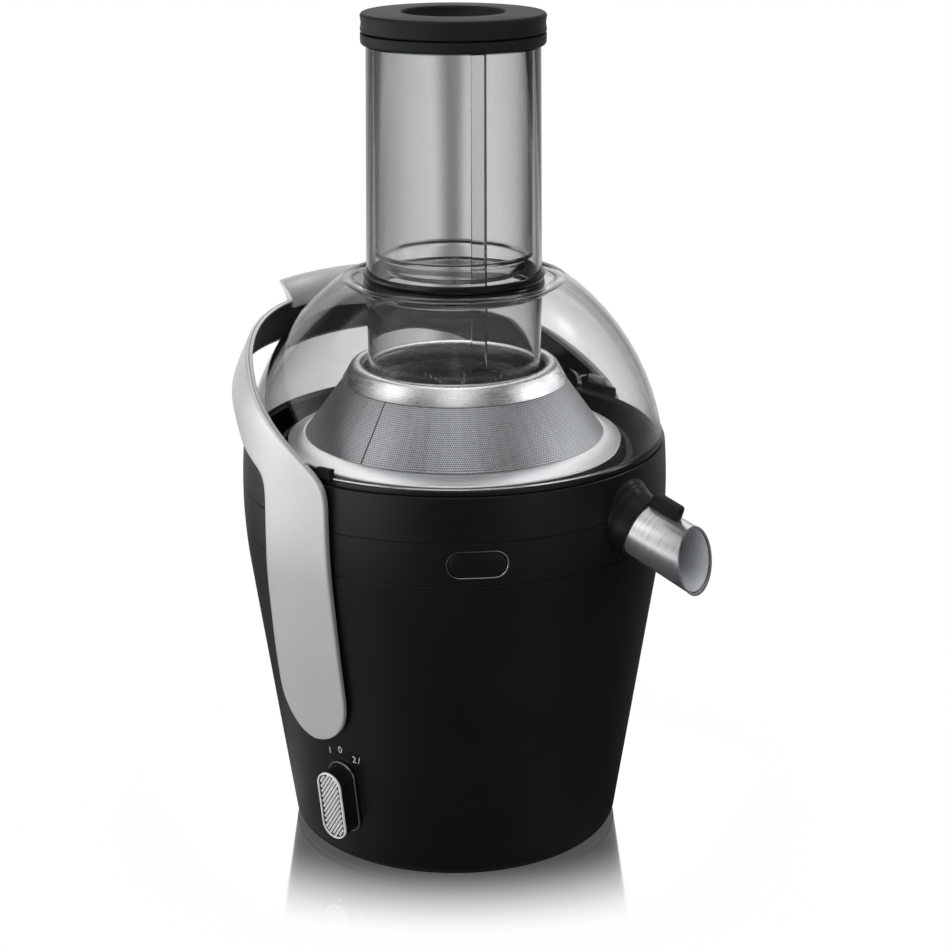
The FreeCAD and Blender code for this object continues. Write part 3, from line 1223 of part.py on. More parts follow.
cut("motor_deck", deck_blank,
    ring_of("deck_screw_hole", deck_screw_hole, 4, S.deck_screw_circle, DIAGONAL))
group("deck_screws", ring_of("deck_screw", deck_screw, 4, S.deck_screw_circle, DIAGONAL))
turned("shaft_seal", [
    (S.shaft_radius + S.running_gap, deck_top + 0.1), (seal_seat - S.press_gap, deck_top + 0.1),
    (seal_seat - S.press_gap, deck_top + 3.6), (S.shaft_radius + 1.4, deck_top + 3.6),
    (S.shaft_radius + 1.4, deck_top + 1.6), (S.shaft_radius + S.running_gap, deck_top + 1.6)])

# ---------------------------------------------------------------- locking arm

arm_low = S.arm_foot - 3.0
arm_ceiling = S.arm_top + 2.5
bend = S.arm_bend_curve
outer_belly = S.belly_radius + S.arm_stand
outer_bend = outer_belly - 0.7
inner_belly = S.belly_radius + S.arm_gap_high
inner_bend = inner_belly - 0.7


def arm_shell(name, inner_gaps, outer_gaps):
    """The turned wall that the arm is cut from, between an inner and an outer face.

    Each face is given by its distance from the body low down and at the belly.
    """
    def face(gaps):
        low, high = (as_size(gap) for gap in gaps)
        belly_out = S.belly_radius + high
        return [(body_radius(arm_low) + low, arm_low), (body_radius(S.arm_gap_end) + low, S.arm_gap_end),
                (body_radius(S.lower_seam) + high, S.lower_seam), (belly_out, S.belly_height),
                (belly_out - 0.7, S.arm_lean_start), (belly_out - 0.7 - S.arm_bend_in, S.arm_bend_top),
                (belly_out - 0.7 - S.arm_lean, arm_ceiling)]

    inner = face(inner_gaps)
    outer = face(outer_gaps)
    inner[5] += (bend,)
    outer[4] += (-bend,)
    return turned(name, inner + outer[::-1])


BACK = -140.0
arm_rows = [
    (-S.arm_back + 8.0, S.arm_foot + 7.5), (-4.0, S.arm_foot, 30.0), (6.0, S.arm_foot, 30.0),
    (S.arm_front - 2.0, S.arm_foot + 14.0, 24.0), (S.arm_front, S.arm_foot + 24.0, 40.0),
    (S.arm_front, S.arm_shoulder - 8.0), (S.arm_front - 6.0, S.arm_shoulder + 5.0, 15.0),
    (4.0, S.arm_shoulder + 13.5), (-9.0, S.arm_shoulder + 21.0), (-23.0, S.arm_shoulder + 29.0),
    (-36.0, S.arm_shoulder + 36.0), (-56.0, S.arm_shoulder + 46.0, 120.0),
    (-96.0, S.arm_top, 160.0), (BACK, S.arm_top), (BACK, S.arm_under),
    (-96.0, S.arm_under), (-62.0, S.arm_under - 13.5, -150.0), (-44.0, S.arm_under - 27.5),
    (-28.0, S.arm_under - 34.5), (-S.arm_back_high, S.arm_under - 44.0, -14.0),
    (-S.arm_back_high - 0.5, S.arm_under - 72.0), (-S.arm_back, S.arm_foot + 40.0),
    (-S.arm_back, S.arm_foot + 22.0)]
arm_outline = arm_rows[1:] + [(-S.arm_back + 8.0, S.arm_foot + 7.5, 22.0)]


def arm_side(name):
    return padded(name, "XZ_Plane", arm_outline, S.block_side, both_ways=True)


arm_gaps = (S.arm_gap_low, S.arm_gap_high)
arm_stands = (S.arm_stand, S.arm_stand)
silver = arm_shell("arm_silver_wall", arm_gaps, arm_stands)
silver_arm = common("silver_arm", [silver, arm_side("arm_side")])

# the grip lip: a sheet that flares out from the arm's top edge at the back
lip_root = outer_bend - S.arm_lean
lip_low = S.arm_top - 3.0
lip_sheet = turned("lip_sheet", [
    (lip_root - S.grip_sheet - 0.4, lip_low), (lip_root + 1.2, lip_low),
    (lip_root + 1.4, S.arm_top), (lip_root + 1.2 + S.grip_flare, S.arm_top + S.grip_rise - 0.6, -26.0),
    (lip_root + S.grip_flare - 0.6, S.arm_top + S.grip_rise, 1.0),
    (lip_root + S.grip_flare - S.grip_sheet, S.arm_top + S.grip_rise - 1.2),
    (lip_root - S.grip_sheet, S.arm_top, 26.0)])
lip_block = box("lip_block", 80.0, 2 * S.grip_half_width, 40.0, (BACK, -S.grip_half_width, lip_low))
lip = common("grip_lip", [lip_sheet, lip_block])

# hooks reach in over the lid's flange beside the lid lugs
hook_low = S.lid_flange_bottom + 6.0
hook_in = S.lid_flange_radius + 2.0
hooks = []
for word, side in SIDES:
    corner = -(inner_bend + 2.0) if side < 0 else hook_in
    hooks.append(box(f"arm_hook_{word}", 12.0, inner_bend + 2.0 - hook_in, 5.0, (-2.0, corner, hook_low)))

pin_outer = body_radius(S.arm_pivot_height) + S.arm_stand - 1.6
pin_length = pin_outer - S.pivot_inner
pin_sockets = [across(f"pin_socket_{word}", S.pivot_radius + S.press_gap, S.pivot_inner,
                      pin_length + 0.1, side) for word, side in SIDES]
liner_back = S.arm_gap_high + S.liner_thickness
liner_room = arm_shell("liner_room", (S.arm_gap_high - 3.0, S.arm_gap_high - 3.0),
                       (liner_back + S.press_gap, liner_back + S.press_gap))
liner_low = S.arm_under - 40.0
liner_keep = box("liner_keep", S.block_side, S.block_side, S.block_side,
                 (-S.liner_front - S.block_side, -S.block_side / 2, liner_low))
liner_slot = common("liner_slot", [liner_room, liner_keep])
arm_bosses = [across(f"arm_boss_{word}", S.arm_boss_radius, bush_outer + S.loose_gap,
                     S.arm_stand, side) for word, side in SIDES]
arm_blank = fuse("arm_blank", [silver_arm, lip] + hooks + arm_bosses)
cut("locking_arm", arm_blank, pin_sockets + [liner_slot])

liner_wall = arm_shell("liner_wall", (S.arm_gap_high, S.arm_gap_high), (liner_back, liner_back))
liner_block = box("liner_block", S.block_side - 0.1, S.block_side, S.block_side,
                  (-S.liner_front - S.block_side, -S.block_side / 2, liner_low))
common("arm_liner", [liner_wall, arm_side("liner_side"), liner_block])

pins = [across(f"pivot_pin_{word}", S.pivot_radius, S.pivot_inner, pin_length, side)
        for word, side in SIDES]
group("arm_pivot_pins", pins)


def tube_across(name, outer, inner, start, length, side):
    return cut(name, across(name + "_outer", outer, start, length, side),
               [across(name + "_inner", inner, start - 1.0, length + 2.0, side)])


group("arm_bushes", [tube_across(f"arm_bush_{word}", S.bush_radius, S.pivot_radius + S.running_gap,
                                 bush_inner, S.bush_length, side) for word, side in SIDES])
retainer_at = bush_inner - S.retainer_width - S.loose_gap
group("arm_retainers", [tube_across(f"arm_retainer_{word}", S.retainer_radius,
                                    S.pivot_radius + S.press_gap, retainer_at, S.retainer_width, side)
                        for word, side in SIDES])

# safety switch beside the front retainer, on a pad of the housing
safety_body = box("safety_body", S.safety_width, 10.0, 20.0,
                  (safety_x, -bush_inner, S.arm_pivot_height - 10.0))
safety_stalk = box("safety_stalk", safety_x - S.retainer_radius, 3.0, 4.0,
                   (S.retainer_radius + 0.4, -bush_inner + 0.4, S.arm_pivot_height - 2.0))
fuse("safety_switch", [safety_body, safety_stalk])

# ---------------------------------------------------------------- knob and electrics

knob_stand = 0.7
knob_flange_plate = padded("knob_flange_plate", "XY_Plane", stadium(
    S.knob_half_length + S.knob_flange, S.knob_radius + S.knob_flange), S.knob_flange_depth)
at_knob(knob_flange_plate, knob_stand)
knob_block = padded("knob_block", "XY_Plane", stadium(S.knob_half_length, S.knob_radius),
                    S.knob_depth - S.knob_face_depth)
at_knob(knob_block, knob_stand)
shaft_bore = at_knob(cylinder("knob_shaft_bore", S.knob_shaft_radius + S.press_gap, 6.0),
                     knob_stand - 1.0)
cut("control_knob", fuse("knob_solid", [knob_flange_plate, knob_block]), [shaft_bore])
knob_face = padded("knob_face", "XY_Plane", stadium(S.knob_half_length, S.knob_radius),
                   S.knob_face_depth)
at_knob(knob_face, knob_stand + (S.knob_depth - S.knob_face_depth).value + 0.02)
knob_shaft = cylinder("knob_shaft", S.knob_shaft_radius, S.knob_shaft_length + 4.0)
at_knob(knob_shaft, -S.knob_shaft_length.value)
switch_block = box("switch_block", S.switch_side, S.switch_side, S.switch_depth)
switch_back = -(S.housing_wall.value + 1.2 + S.switch_depth.value)
switch_block.Placement = FreeCAD.Placement(knob_face_at + knob_turn.multVec(Vector(
    -S.switch_side.value / 2, -S.switch_side.value / 2, switch_back)), knob_turn)
switch_nose = at_knob(cylinder("switch_nose", 6.5, 1.4), -S.housing_wall.value - 1.8)
switch_bore = at_knob(cylinder("switch_bore", S.knob_shaft_radius + S.running_gap, 40.0), -30.0)
cut("rotary_switch", fuse("switch_solid", [switch_block, switch_nose]), [switch_bore])

BOARD_AZIMUTH = 0.0
board_turn = outward(BOARD_AZIMUTH)
board_radius = S.base_radius.value - S.housing_wall.value - 0.2
board_at = on_side(BOARD_AZIMUTH, board_radius, S.base_seam.value + 22.0)
board_plate = box("board_plate", S.board_height, S.board_length, S.board_thickness)
board_plate.Placement = FreeCAD.Placement(board_at + board_turn.multVec(Vector(
    -S.board_height.value / 2, -S.board_length.value / 2, -S.board_stand.value)), board_turn)
board_parts = [board_plate]
BOARD_PARTS = ((-9.0, -14.0, 9.0, 10.0), (4.0, 2.0, 6.0, 14.0))
for number, (up, across_by, tall, wide) in enumerate(BOARD_PARTS):
    part_block = box(f"board_part_{number + 1}", tall + 4.0, wide, tall)
    part_block.Placement = FreeCAD.Placement(board_at + board_turn.multVec(
        Vector(up, across_by, -S.board_stand.value - tall + 0.2)), board_turn)
    board_parts.append(part_block)
for number, spread in enumerate((-1, 1)):
    post = cylinder(f"board_post_{number + 1}", 2.5, S.board_stand)
    post.Placement = FreeCAD.Placement(board_at + board_turn.multVec(
        Vector(0, spread * (S.board_length.value / 2 - 4.0), 0.2 - S.board_stand.value)), board_turn)
    board_parts.append(post)
fuse("control_board", board_parts)

# ---------------------------------------------------------------- nodes

NODES = [
    "anti_slip_ring", "base_plate", "base_screws", "motor_housing", "housing_band", "button_bezel",
    "release_button", "button_spring", "pulp_container", "juice_channel", "pulp_bowl",
    "spout_collar", "spout_tube", "spout_lever",
    "lid_dome", "lid_seal", "lid_lugs", "feed_tube", "tube_collar",
    "pusher_cap", "pusher_ring", "pusher_tube", "pusher_foot",
    "sieve_crown", "sieve_mesh", "sieve_rim", "grater_disc", "sieve_hub", "disc_nut",
    "drive_coupling", "motor_shaft", "upper_bearing", "lower_bearing", "armature_core",
    "armature_windings", "commutator", "cooling_fan", "stator_core", "field_coils", "upper_bracket",
    "lower_bracket", "motor_bolts", "brush_holders", "carbon_brushes", "vibration_mounts",
    "motor_deck", "deck_screws", "shaft_seal",
    "locking_arm", "arm_liner", "arm_pivot_pins", "arm_bushes", "arm_retainers", "safety_switch",
    "control_knob", "knob_face", "knob_shaft", "rotary_switch", "control_board", "cord_gland"]

doc.recompute()
faults = [item.Name for item in doc.Objects if "Invalid" in item.State or "Error" in item.State]
if faults:
    raise RuntimeError("these objects did not build: " + ", ".join(faults))
os.makedirs("parts", exist_ok=True)
for name in NODES:
    piece = doc.getObjectsByLabel(name)[0]
    shape = piece.Shape
    if shape.isNull() or not shape.isValid() or not shape.Solids:
        raise RuntimeError(name + " has no valid solid")
    shape.exportStep(f"parts/{name}.step")
    print(f"{name}: {len(shape.Solids)} solid(s), {shape.Volume:.0f} mm3")
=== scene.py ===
from math import asin, atan2, ceil, copysign, cos, degrees, hypot, pi, radians, sin, sqrt, tan

import bmesh
import bpy
from mathutils import Matrix, Vector


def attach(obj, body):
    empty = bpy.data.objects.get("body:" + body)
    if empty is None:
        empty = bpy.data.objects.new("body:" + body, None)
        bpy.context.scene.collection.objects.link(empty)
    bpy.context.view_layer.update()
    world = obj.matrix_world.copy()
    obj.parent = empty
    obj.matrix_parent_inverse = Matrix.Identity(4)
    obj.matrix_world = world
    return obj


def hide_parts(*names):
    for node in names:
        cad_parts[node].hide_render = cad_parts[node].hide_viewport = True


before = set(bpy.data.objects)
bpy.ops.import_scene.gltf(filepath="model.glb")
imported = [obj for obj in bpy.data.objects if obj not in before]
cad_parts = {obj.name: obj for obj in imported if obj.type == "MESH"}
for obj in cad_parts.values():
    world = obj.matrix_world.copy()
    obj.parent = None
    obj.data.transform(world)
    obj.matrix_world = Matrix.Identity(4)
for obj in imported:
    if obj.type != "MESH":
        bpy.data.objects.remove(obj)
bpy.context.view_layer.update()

# Centrifugal juicer. Sizes are in millimetres until a mesh is made, then metres. +Z up, the
# knob towards -Y, the spout towards +X, the arm's grip towards -X.
MM = 0.001
TAU = 2 * pi

FOOT_HEIGHT, FOOT_RADIUS = 5.0, 87.0
CONE_TOP_HEIGHT, CONE_TOP_RADIUS = 146.0, 107.68
BELLY_HEIGHT, BELLY_RADIUS, BELLY_BEND = 187.0, 110.7, 280.0

# knob and button: direction round the body in degrees from -Y towards +X, height, and half the
# straight length of the pill shape
KNOB_AZIMUTH, KNOB_HEIGHT, KNOB_STRAIGHT = 6.8, 40.5, 11.9
BUTTON_AZIMUTH, BUTTON_HEIGHT, BUTTON_STRAIGHT = 50.2, 179.7, 8.2
# what such a direction takes to be counted from +X
FROM_X = -90.0

# the spout: its direction from +X, its fall, the slant of its cut, and where its axis starts
SPOUT_AZIMUTH, SPOUT_FALL, SPOUT_SLANT = 6.7, 18.4, 28.1
SPOUT_ROOT, SPOUT_HEIGHT = 108.0, 188.2


# ---- outlines

def expand(points, step=radians(5)):
    """Points (x, y) or (x, y, radius) with each arc divided. A radius bends the edge that arrives
    at the point: to the left of the way it runs if positive, to the right if negative."""
    line = []
    for index, point in enumerate(points):
        x0, y0 = points[index - 1][:2]
        x1, y1 = point[:2]
        if len(point) == 3:
            radius, side = abs(point[2]), copysign(1.0, point[2])
            chord = hypot(x1 - x0, y1 - y0)
            reach = sqrt(max(radius ** 2 - chord ** 2 / 4, 0.0)) * side
            cx = (x0 + x1) / 2 - (y1 - y0) / chord * reach
            cy = (y0 + y1) / 2 + (x1 - x0) / chord * reach
            start = atan2(y0 - cy, x0 - cx)
            sweep = (atan2(y1 - cy, x1 - cx) - start + pi) % TAU - pi
            parts = max(2, ceil(abs(sweep) / step))
            for part in range(1, parts):
                angle = start + sweep * part / parts
                line.append((cx + radius * cos(angle), cy + radius * sin(angle)))
        line.append((x1, y1))
    return line


def soften(line, radius, sharpest=radians(25)):
    """Rounds each corner sharper than a limit, by a radius or less where the edges are short."""
    count = len(line)
    soft = []
    for index, point in enumerate(line):
        here = Vector(point)
        back, on = Vector(line[index - 1]) - here, Vector(line[(index + 1) % count]) - here
        kept = min(back.length, on.length) < 1e-6 or point[0] == 0
        turn = 0.0 if kept else pi - back.angle(on)
        if turn < sharpest:
            soft.append(tuple(here))
            continue
        cut = min(radius * tan(turn / 2), 0.45 * back.length, 0.45 * on.length)
        start, end = here + back.normalized() * cut, here + on.normalized() * cut
        for part in range(5):
            t = part / 4
            soft.append(tuple(start * (1 - t) ** 2 + here * (2 * t * (1 - t)) + end * t ** 2))
    return soft


def blend_between(table, at):
    """Value at a place in a table of (place, value) rows, straight between the rows."""
    for (x0, y0), (x1, y1) in zip(table, table[1:]):
        if at <= x1 or (x1, y1) == table[-1]:
            return y0 + (y1 - y0) * (at - x0) / (x1 - x0)


def body_radius(z):
    """Outer radius of the body: a cone that runs into the belly's long arc."""
    if z < CONE_TOP_HEIGHT:
        share = (z - FOOT_HEIGHT) / (CONE_TOP_HEIGHT - FOOT_HEIGHT)
        return FOOT_RADIUS + (CONE_TOP_RADIUS - FOOT_RADIUS) * share
    return BELLY_RADIUS - BELLY_BEND + sqrt(BELLY_BEND ** 2 - (z - BELLY_HEIGHT) ** 2)


# ---- meshes

def new_object(name, bm, sharp=38.0):
    bmesh.ops.remove_doubles(bm, verts=bm.verts, dist=1e-7)
    bmesh.ops.dissolve_degenerate(bm, edges=bm.edges, dist=1e-7)
    bmesh.ops.recalc_face_normals(bm, faces=bm.faces)
    mesh = bpy.data.meshes.new(name)
    bm.to_mesh(mesh)
    bm.free()
    mesh.shade_smooth()
    mesh.set_sharp_from_angle(angle=radians(sharp))
    made = bpy.data.objects.new(name, mesh)
    bpy.context.scene.collection.objects.link(made)
    return made


def skin(bm, rings, closed_round=False):
    """Quads between neighbouring rings of (x, y, z) points in millimetres. Gives the vertices."""
    rings = [[bm.verts.new((x * MM, y * MM, z * MM)) for x, y, z in ring] for ring in rings]
    pairs = list(zip(rings, rings[1:]))
    if closed_round:
        pairs.append((rings[-1], rings[0]))
    for first, second in pairs:
        for index in range(len(first)):
            after = (index + 1) % len(first)
            corners = [first[index], first[after], second[after], second[index]]
            if len(set(corners)) > 2:
                bm.faces.new(list(dict.fromkeys(corners)))
    return rings


def capped(bm, rings):
    """A skin over rings of points, with a face on the first and the last."""
    rings = skin(bm, rings)
    bm.faces.new(rings[0])
    bm.faces.new(rings[-1])


def round_axis(r, angle, z):
    """A point from its radius and direction round the axis."""
    return r * cos(angle), r * sin(angle), z


def lathe(name, section, soft=0.35, steps=192, angles=None, shape=None, sharp=38.0):
    """Turns a closed (radius, height) section about Z. shape may move a point: (angle, r, z)."""
    line = soften(expand(section), soft)
    bm = bmesh.new()
    rings = []
    for angle in angles or [TAU * step / steps for step in range(steps)]:
        moved = [shape(angle, r, z) for r, z in line] if shape else line
        rings.append([round_axis(r, angle, z) for r, z in moved])
    skin(bm, rings, closed_round=True)
    return new_object(name, bm, sharp)


def swept(name, section, start, end, steps, round_off=0.8, soft=0.35):
    """A section turned about Z over part of a turn, its ends closed and rounded."""
    line = soften(expand(section), soft)
    middle = Vector((sum(p[0] for p in line) / len(line), sum(p[1] for p in line) / len(line)))
    mean = middle[0]
    angles = [(start + round_off * (1 - cos(pi / 2 * part / 4)) / mean,
               round_off * (1 - sin(pi / 2 * part / 4))) for part in range(5)]
    inner_start = angles[-1][0]
    tail = [(end - (angle - start), inset) for angle, inset in reversed(angles)]
    inner_end = tail[0][0]
    run = inner_end - inner_start
    angles += [(inner_start + run * part / steps, 0.0) for part in range(1, steps)]
    angles += tail
    bm = bmesh.new()
    rings = []
    for angle, inset in angles:
        ring = []
        for point in line:
            off = middle - Vector(point)
            r, z = Vector(point) + off.normalized() * min(inset, off.length * 0.6)
            ring.append(round_axis(r, angle, z))
        rings.append(ring)
    capped(bm, rings)
    return new_object(name, bm)


def pill_line(straight, radius, steps=48):
    """Closed outline of a pill: long way along the first axis."""
    line = []
    for step in range(steps):
        angle = TAU * step / steps
        shift = straight if cos(angle) > -1e-9 else -straight
        line.append((radius * cos(angle) + shift, radius * sin(angle)))
        following = TAU * (step + 1) / steps
        other = straight if cos(following) > -1e-9 else -straight
        if other != shift:
            for part in range(1, 12):
                line.append((shift + (other - shift) * part / 12, radius * sin(angle)))
    return line


def pill(name, straight, profile, put=lambda *place: place):
    """A solid of pill outlines, one for each (radius, height). put may lay a point elsewhere."""
    bm = bmesh.new()
    skin(bm, [[put(*point, height) for point in pill_line(straight, radius)]
              for radius, height in profile])
    return new_object(name, bm)


def on_body(azimuth_from_x, height):
    """Lays (up, sideways, out) on the body's round side at a direction and height."""
    def put(up, sideways, out):
        angle = radians(azimuth_from_x) - sideways / body_radius(height)
        return round_axis(body_radius(height + up) + out, angle, height + up)
    return put


def side_frame(azimuth_from_x, slope, reach, height):
    """A frame at a reach from the axis: its Z points out of the body's side, its X up it."""
    turn, fall = radians(azimuth_from_x), radians(slope)
    out = Vector(round_axis(cos(fall), turn, -sin(fall)))
    up = Vector(round_axis(sin(fall), turn, cos(fall)))
    turned = Matrix((up, out.cross(up), out)).transposed().to_4x4()
    return Matrix.Translation(Vector(round_axis(reach, turn, height)) * MM) @ turned


def finish(made, material, body, slot, *nodes, place=None):
    """Gives a piece its material and body, and hides the CAD nodes that it stands for. The slot is
    not used.
    """
    if place is not None:
        made.matrix_world = place
    made.data.materials.clear()
    made.data.materials.append(material)
    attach(made, body)
    if nodes:
        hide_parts(*nodes)
    return made


# ---- shader helpers

def node(tree, kind, inputs=None, **settings):
    """Adds a shader node. An input is a number, a colour or another node's output."""
    made = tree.nodes.new("ShaderNode" + kind)
    for key, value in settings.items():
        setattr(made, key, value)
    for key, value in (inputs or {}).items():
        socket = made.inputs[key]
        if isinstance(value, bpy.types.NodeSocket):
            tree.links.new(value, socket)
        else:
            socket.default_value = value
    return made


def calc(tree, operation, first, second=0.0):
    return node(tree, "Math", {0: first, 1: second}, operation=operation).outputs[0]


def add(tree, first, second):
    return calc(tree, "ADD", first, second)


def times(tree, first, second):
    return calc(tree, "MULTIPLY", first, second)


def dot(tree, first, second):
    return node(tree, "VectorMath", {0: first, 1: second}, operation="DOT_PRODUCT").outputs["Value"]


def length(tree, place):
    return node(tree, "VectorMath", {0: place}, operation="LENGTH").outputs["Value"]


def flat_vector(tree, x, y):
    return node(tree, "CombineXYZ", {0: x, 1: y}).outputs[0]


def xyz(tree, vector):
    """The three parts of a vector."""
    return node(tree, "SeparateXYZ", {0: vector}).outputs


def object_place(tree):
    return node(tree, "TexCoord").outputs["Object"]


def level_direction(tree, place):
    """A place's or a direction's own direction on the level."""
    x, y, _ = xyz(tree, place)
    return node(tree, "VectorMath", {0: flat_vector(tree, x, y)},
                operation="NORMALIZE").outputs["Vector"]


def new_material(name):
    material = bpy.data.materials.new(name)
    material.use_nodes = True
    material.node_tree.nodes.clear()
    return material, material.node_tree


def between(tree, value, low, high, start=0.0, end=1.0, **settings):
    """The value's range start to end, spread over low to high."""
    return node(tree, "MapRange", {"Value": value, "From Min": start, "From Max": end,
                                   "To Min": low, "To Max": high}, **settings).outputs["Result"]


def grey(*levels):
    if len(levels) == 1:
        levels = levels * 3
    return (*levels, 1.0)


def spread(tree, value, dark, light):
    """A colour between two, by a value."""
    return node(tree, "Mix", {0: value, 6: grey(*dark), 7: grey(*light)},
                data_type="RGBA").outputs[2]


def noise(tree, scale, detail=3.0, vector=None, roughness=0.55):
    place = vector or object_place(tree)
    return node(tree, "TexNoise", {"Vector": place, "Scale": scale, "Detail": detail,
                                   "Roughness": roughness}).outputs["Fac"]


def bump(tree, height, distance, strength=1.0):
    return node(tree, "Bump", {"Height": height, "Distance": distance,
                               "Strength": strength}).outputs["Normal"]


def surface(tree, **inputs):
    """The principled shader and the output. An input's spaces are written as underscores."""
    names = {key.replace("_", " "): value for key, value in inputs.items()}
    shader = node(tree, "BsdfPrincipled", names)
    return node(tree, "OutputMaterial", {"Surface": shader.outputs[0]})


def moulded(name, colour, lighter, rough, rough_spread=0.06, grain=2600.0, depth=0.000012,
            specular=0.5, coat=0.0):
    """Moulded plastic: fine spark-eroded grain, cloudy gloss and a little colour drift."""
    material, tree = new_material(name)
    cloud = noise(tree, 28.0, 4.0)
    fine = noise(tree, grain, 2.0)
    drift = spread(tree, between(tree, cloud, 0.0, 1.0, 0.3, 0.7), colour, lighter)
    gloss = between(tree, cloud, rough - rough_spread, rough + rough_spread, 0.3, 0.7)
    inputs = {"Base_Color": drift, "Roughness": gloss, "Normal": bump(tree, fine, depth)}
    surface(tree, **inputs, Specular_IOR_Level=specular, Coat_Roughness=0.12, Coat_Weight=coat)
    return material


def round_place(tree, around, across):
    """Coordinates that change slowly round the piece's own Z axis and fast across it."""
    place = object_place(tree)
    x, y, z = xyz(tree, place)
    ux, uy, _ = xyz(tree, level_direction(tree, place))
    level = add(tree, length(tree, flat_vector(tree, x, y)), z)
    return node(tree, "CombineXYZ", {0: times(tree, ux, around), 1: times(tree, uy, around),
                                     2: times(tree, level, across)}).outputs[0]


def brushed_surface(tree, **inputs):
    """The principled shader with its gloss drawn out along strokes round the piece's own Z axis."""
    tangent = node(tree, "Tangent", direction_type="RADIAL", axis="Z").outputs[0]
    surface(tree, Tangent=tangent, **inputs)


def brushed(name, dark, light, rough, anisotropic=0.65, depth=0.000003, around=5.0, across=2200.0,
            detail=3.0, metallic=1.0):
    """Steel brushed round the piece's axis."""
    material, tree = new_material(name)
    strokes = noise(tree, 1.0, detail, round_place(tree, around, across), 0.6)
    drift = noise(tree, 1.0, 1.0, round_place(tree, 1.6, 25.0))
    level = add(tree, times(tree, strokes, 0.7), times(tree, drift, 0.3))
    tint = spread(tree, between(tree, level, 0.0, 1.0, 0.3, 0.7), dark, light)
    gloss = between(tree, strokes, rough - 0.04, rough + 0.05, 0.3, 0.7)
    brushed_surface(tree, Base_Color=tint, Metallic=metallic, Roughness=gloss,
                    Anisotropic=anisotropic, Normal=bump(tree, strokes, depth))
    return material


def clear(name, density, tone=0.40, rough=0.004):
    """Clear smoke-grey plastic: the tint comes from how much of it the light passes through."""
    material, tree = new_material(name)
    ripple = noise(tree, 14.0, 1.0)
    gloss = between(tree, ripple, 0.0, rough, 0.35, 0.75)
    out = surface(tree, Base_Color=grey(1.0), Transmission_Weight=1.0, IOR=1.46,
                  Roughness=gloss, Normal=bump(tree, ripple, 0.00002, 0.2))
    dye = node(tree, "VolumeAbsorption", {"Color": grey(tone, tone * 1.02, tone * 1.04),
                                          "Density": density})
    tree.links.new(dye.outputs[0], out.inputs["Volume"])
    return material


def worked_metal(name, dark, light, rough, scale=400.0, metallic=1.0, stretch=(1.0, 1.0, 1.0)):
    """Machined, plated or sheet metal with uneven gloss."""
    material, tree = new_material(name)
    place = node(tree, "Mapping", {"Vector": object_place(tree),
                                   "Scale": stretch}).outputs[0]
    marks = noise(tree, scale, 4.0, place)
    cloud = noise(tree, 40.0, 3.0)
    tint = spread(tree, between(tree, cloud, 0.0, 1.0, 0.3, 0.7), dark, light)
    surface(tree, Base_Color=tint, Metallic=metallic,
            Roughness=between(tree, marks, rough - 0.08, rough + 0.1, 0.3, 0.7),
            Normal=bump(tree, marks, 0.00002))
    return material


# ---- materials

BODY = moulded("satin_black", (0.0040, 0.0050, 0.0056), (0.0056, 0.0068, 0.0074), 0.34, 0.03,
               specular=0.40)
TRIM = moulded("matte_black", (0.0085, 0.0105, 0.0115), (0.012, 0.0145, 0.0155), 0.52, 0.05,
               grain=3200.0, depth=0.00002, specular=0.2)
GLOSS = moulded("gloss_black", (0.005, 0.006, 0.0065), (0.008, 0.009, 0.010), 0.16, 0.04,
                depth=0.000004)
RUBBER = moulded("rubber_black", (0.014, 0.014, 0.014), (0.022, 0.022, 0.022), 0.72, 0.08,
                 grain=1800.0, depth=0.00003, specular=0.3)
FAN = moulded("inner_plastic", (0.05, 0.05, 0.055), (0.085, 0.085, 0.09), 0.52)
MARKS = moulded("mark_print", (0.50, 0.52, 0.53), (0.60, 0.62, 0.63), 0.5, grain=4000.0)
# how strongly the clear parts are dyed, per metre of plastic
SMOKE_LID = clear("clear_lid", 75.0)
SMOKE_TUBE = clear("clear_tube", 150.0)
SMOKE_PUSHER = clear("clear_pusher", 40.0)
CROWN_STEEL = brushed("brushed_steel", (0.78, 0.79, 0.80), (0.90, 0.91, 0.92), 0.27, 0.8)
RIM_STEEL = brushed("rim_steel", (0.82, 0.83, 0.84), (0.94, 0.95, 0.96), 0.42, 0.8)
LONG_STROKES = {"depth": 0.0000004, "around": 0.8, "across": 1500.0, "detail": 2.0}
SPOUT_STEEL = brushed("spout_steel", (0.66, 0.67, 0.68), (0.92, 0.92, 0.93), 0.22, 0.6,
                      metallic=0.90, **LONG_STROKES)
# painted light: a paler, less metallic copy of the spout steel, so that the spout's inside looks lit
# where little light reaches
SPOUT_INSIDE_PAINTED_LIGHT = brushed("spout_inside_painted_light", (0.62, 0.64, 0.66), (0.86, 0.88, 0.90), 0.40, 0.5,
                     metallic=0.45, **LONG_STROKES)
# painted shade: the grater disc's steel is made near-black for the shade it lies in inside the
# basket
DISC_STEEL_PAINTED_SHADE = brushed("disc_steel_painted_shade", (0.020, 0.022, 0.024), (0.034, 0.037, 0.040), 0.40, 0.3)
TOOTH_STEEL = brushed("tooth_steel", (0.34, 0.35, 0.36), (0.50, 0.51, 0.52), 0.24, 0.3)
SEAM_STEEL = brushed("seam_steel", (0.030, 0.032, 0.034), (0.070, 0.073, 0.076), 0.45, 0.3)
CHROME = worked_metal("bright_trim", (0.66, 0.67, 0.68), (0.78, 0.79, 0.80), 0.13, 900.0)
KNURL = worked_metal("knurled_face", (0.84, 0.85, 0.86), (0.95, 0.95, 0.96), 0.24, 900.0,
                     metallic=0.15)
TURNED = worked_metal("turned_steel", (0.36, 0.36, 0.37), (0.50, 0.50, 0.51), 0.34, 700.0,
                      stretch=(0.3, 0.3, 3.0))
ZINC = worked_metal("zinc_sheet", (0.42, 0.44, 0.47), (0.56, 0.58, 0.61), 0.42, 160.0)
COPPER = worked_metal("enamelled_copper", (0.42, 0.16, 0.06), (0.66, 0.30, 0.13), 0.32, 300.0,
                      stretch=(0.4, 0.4, 14.0))
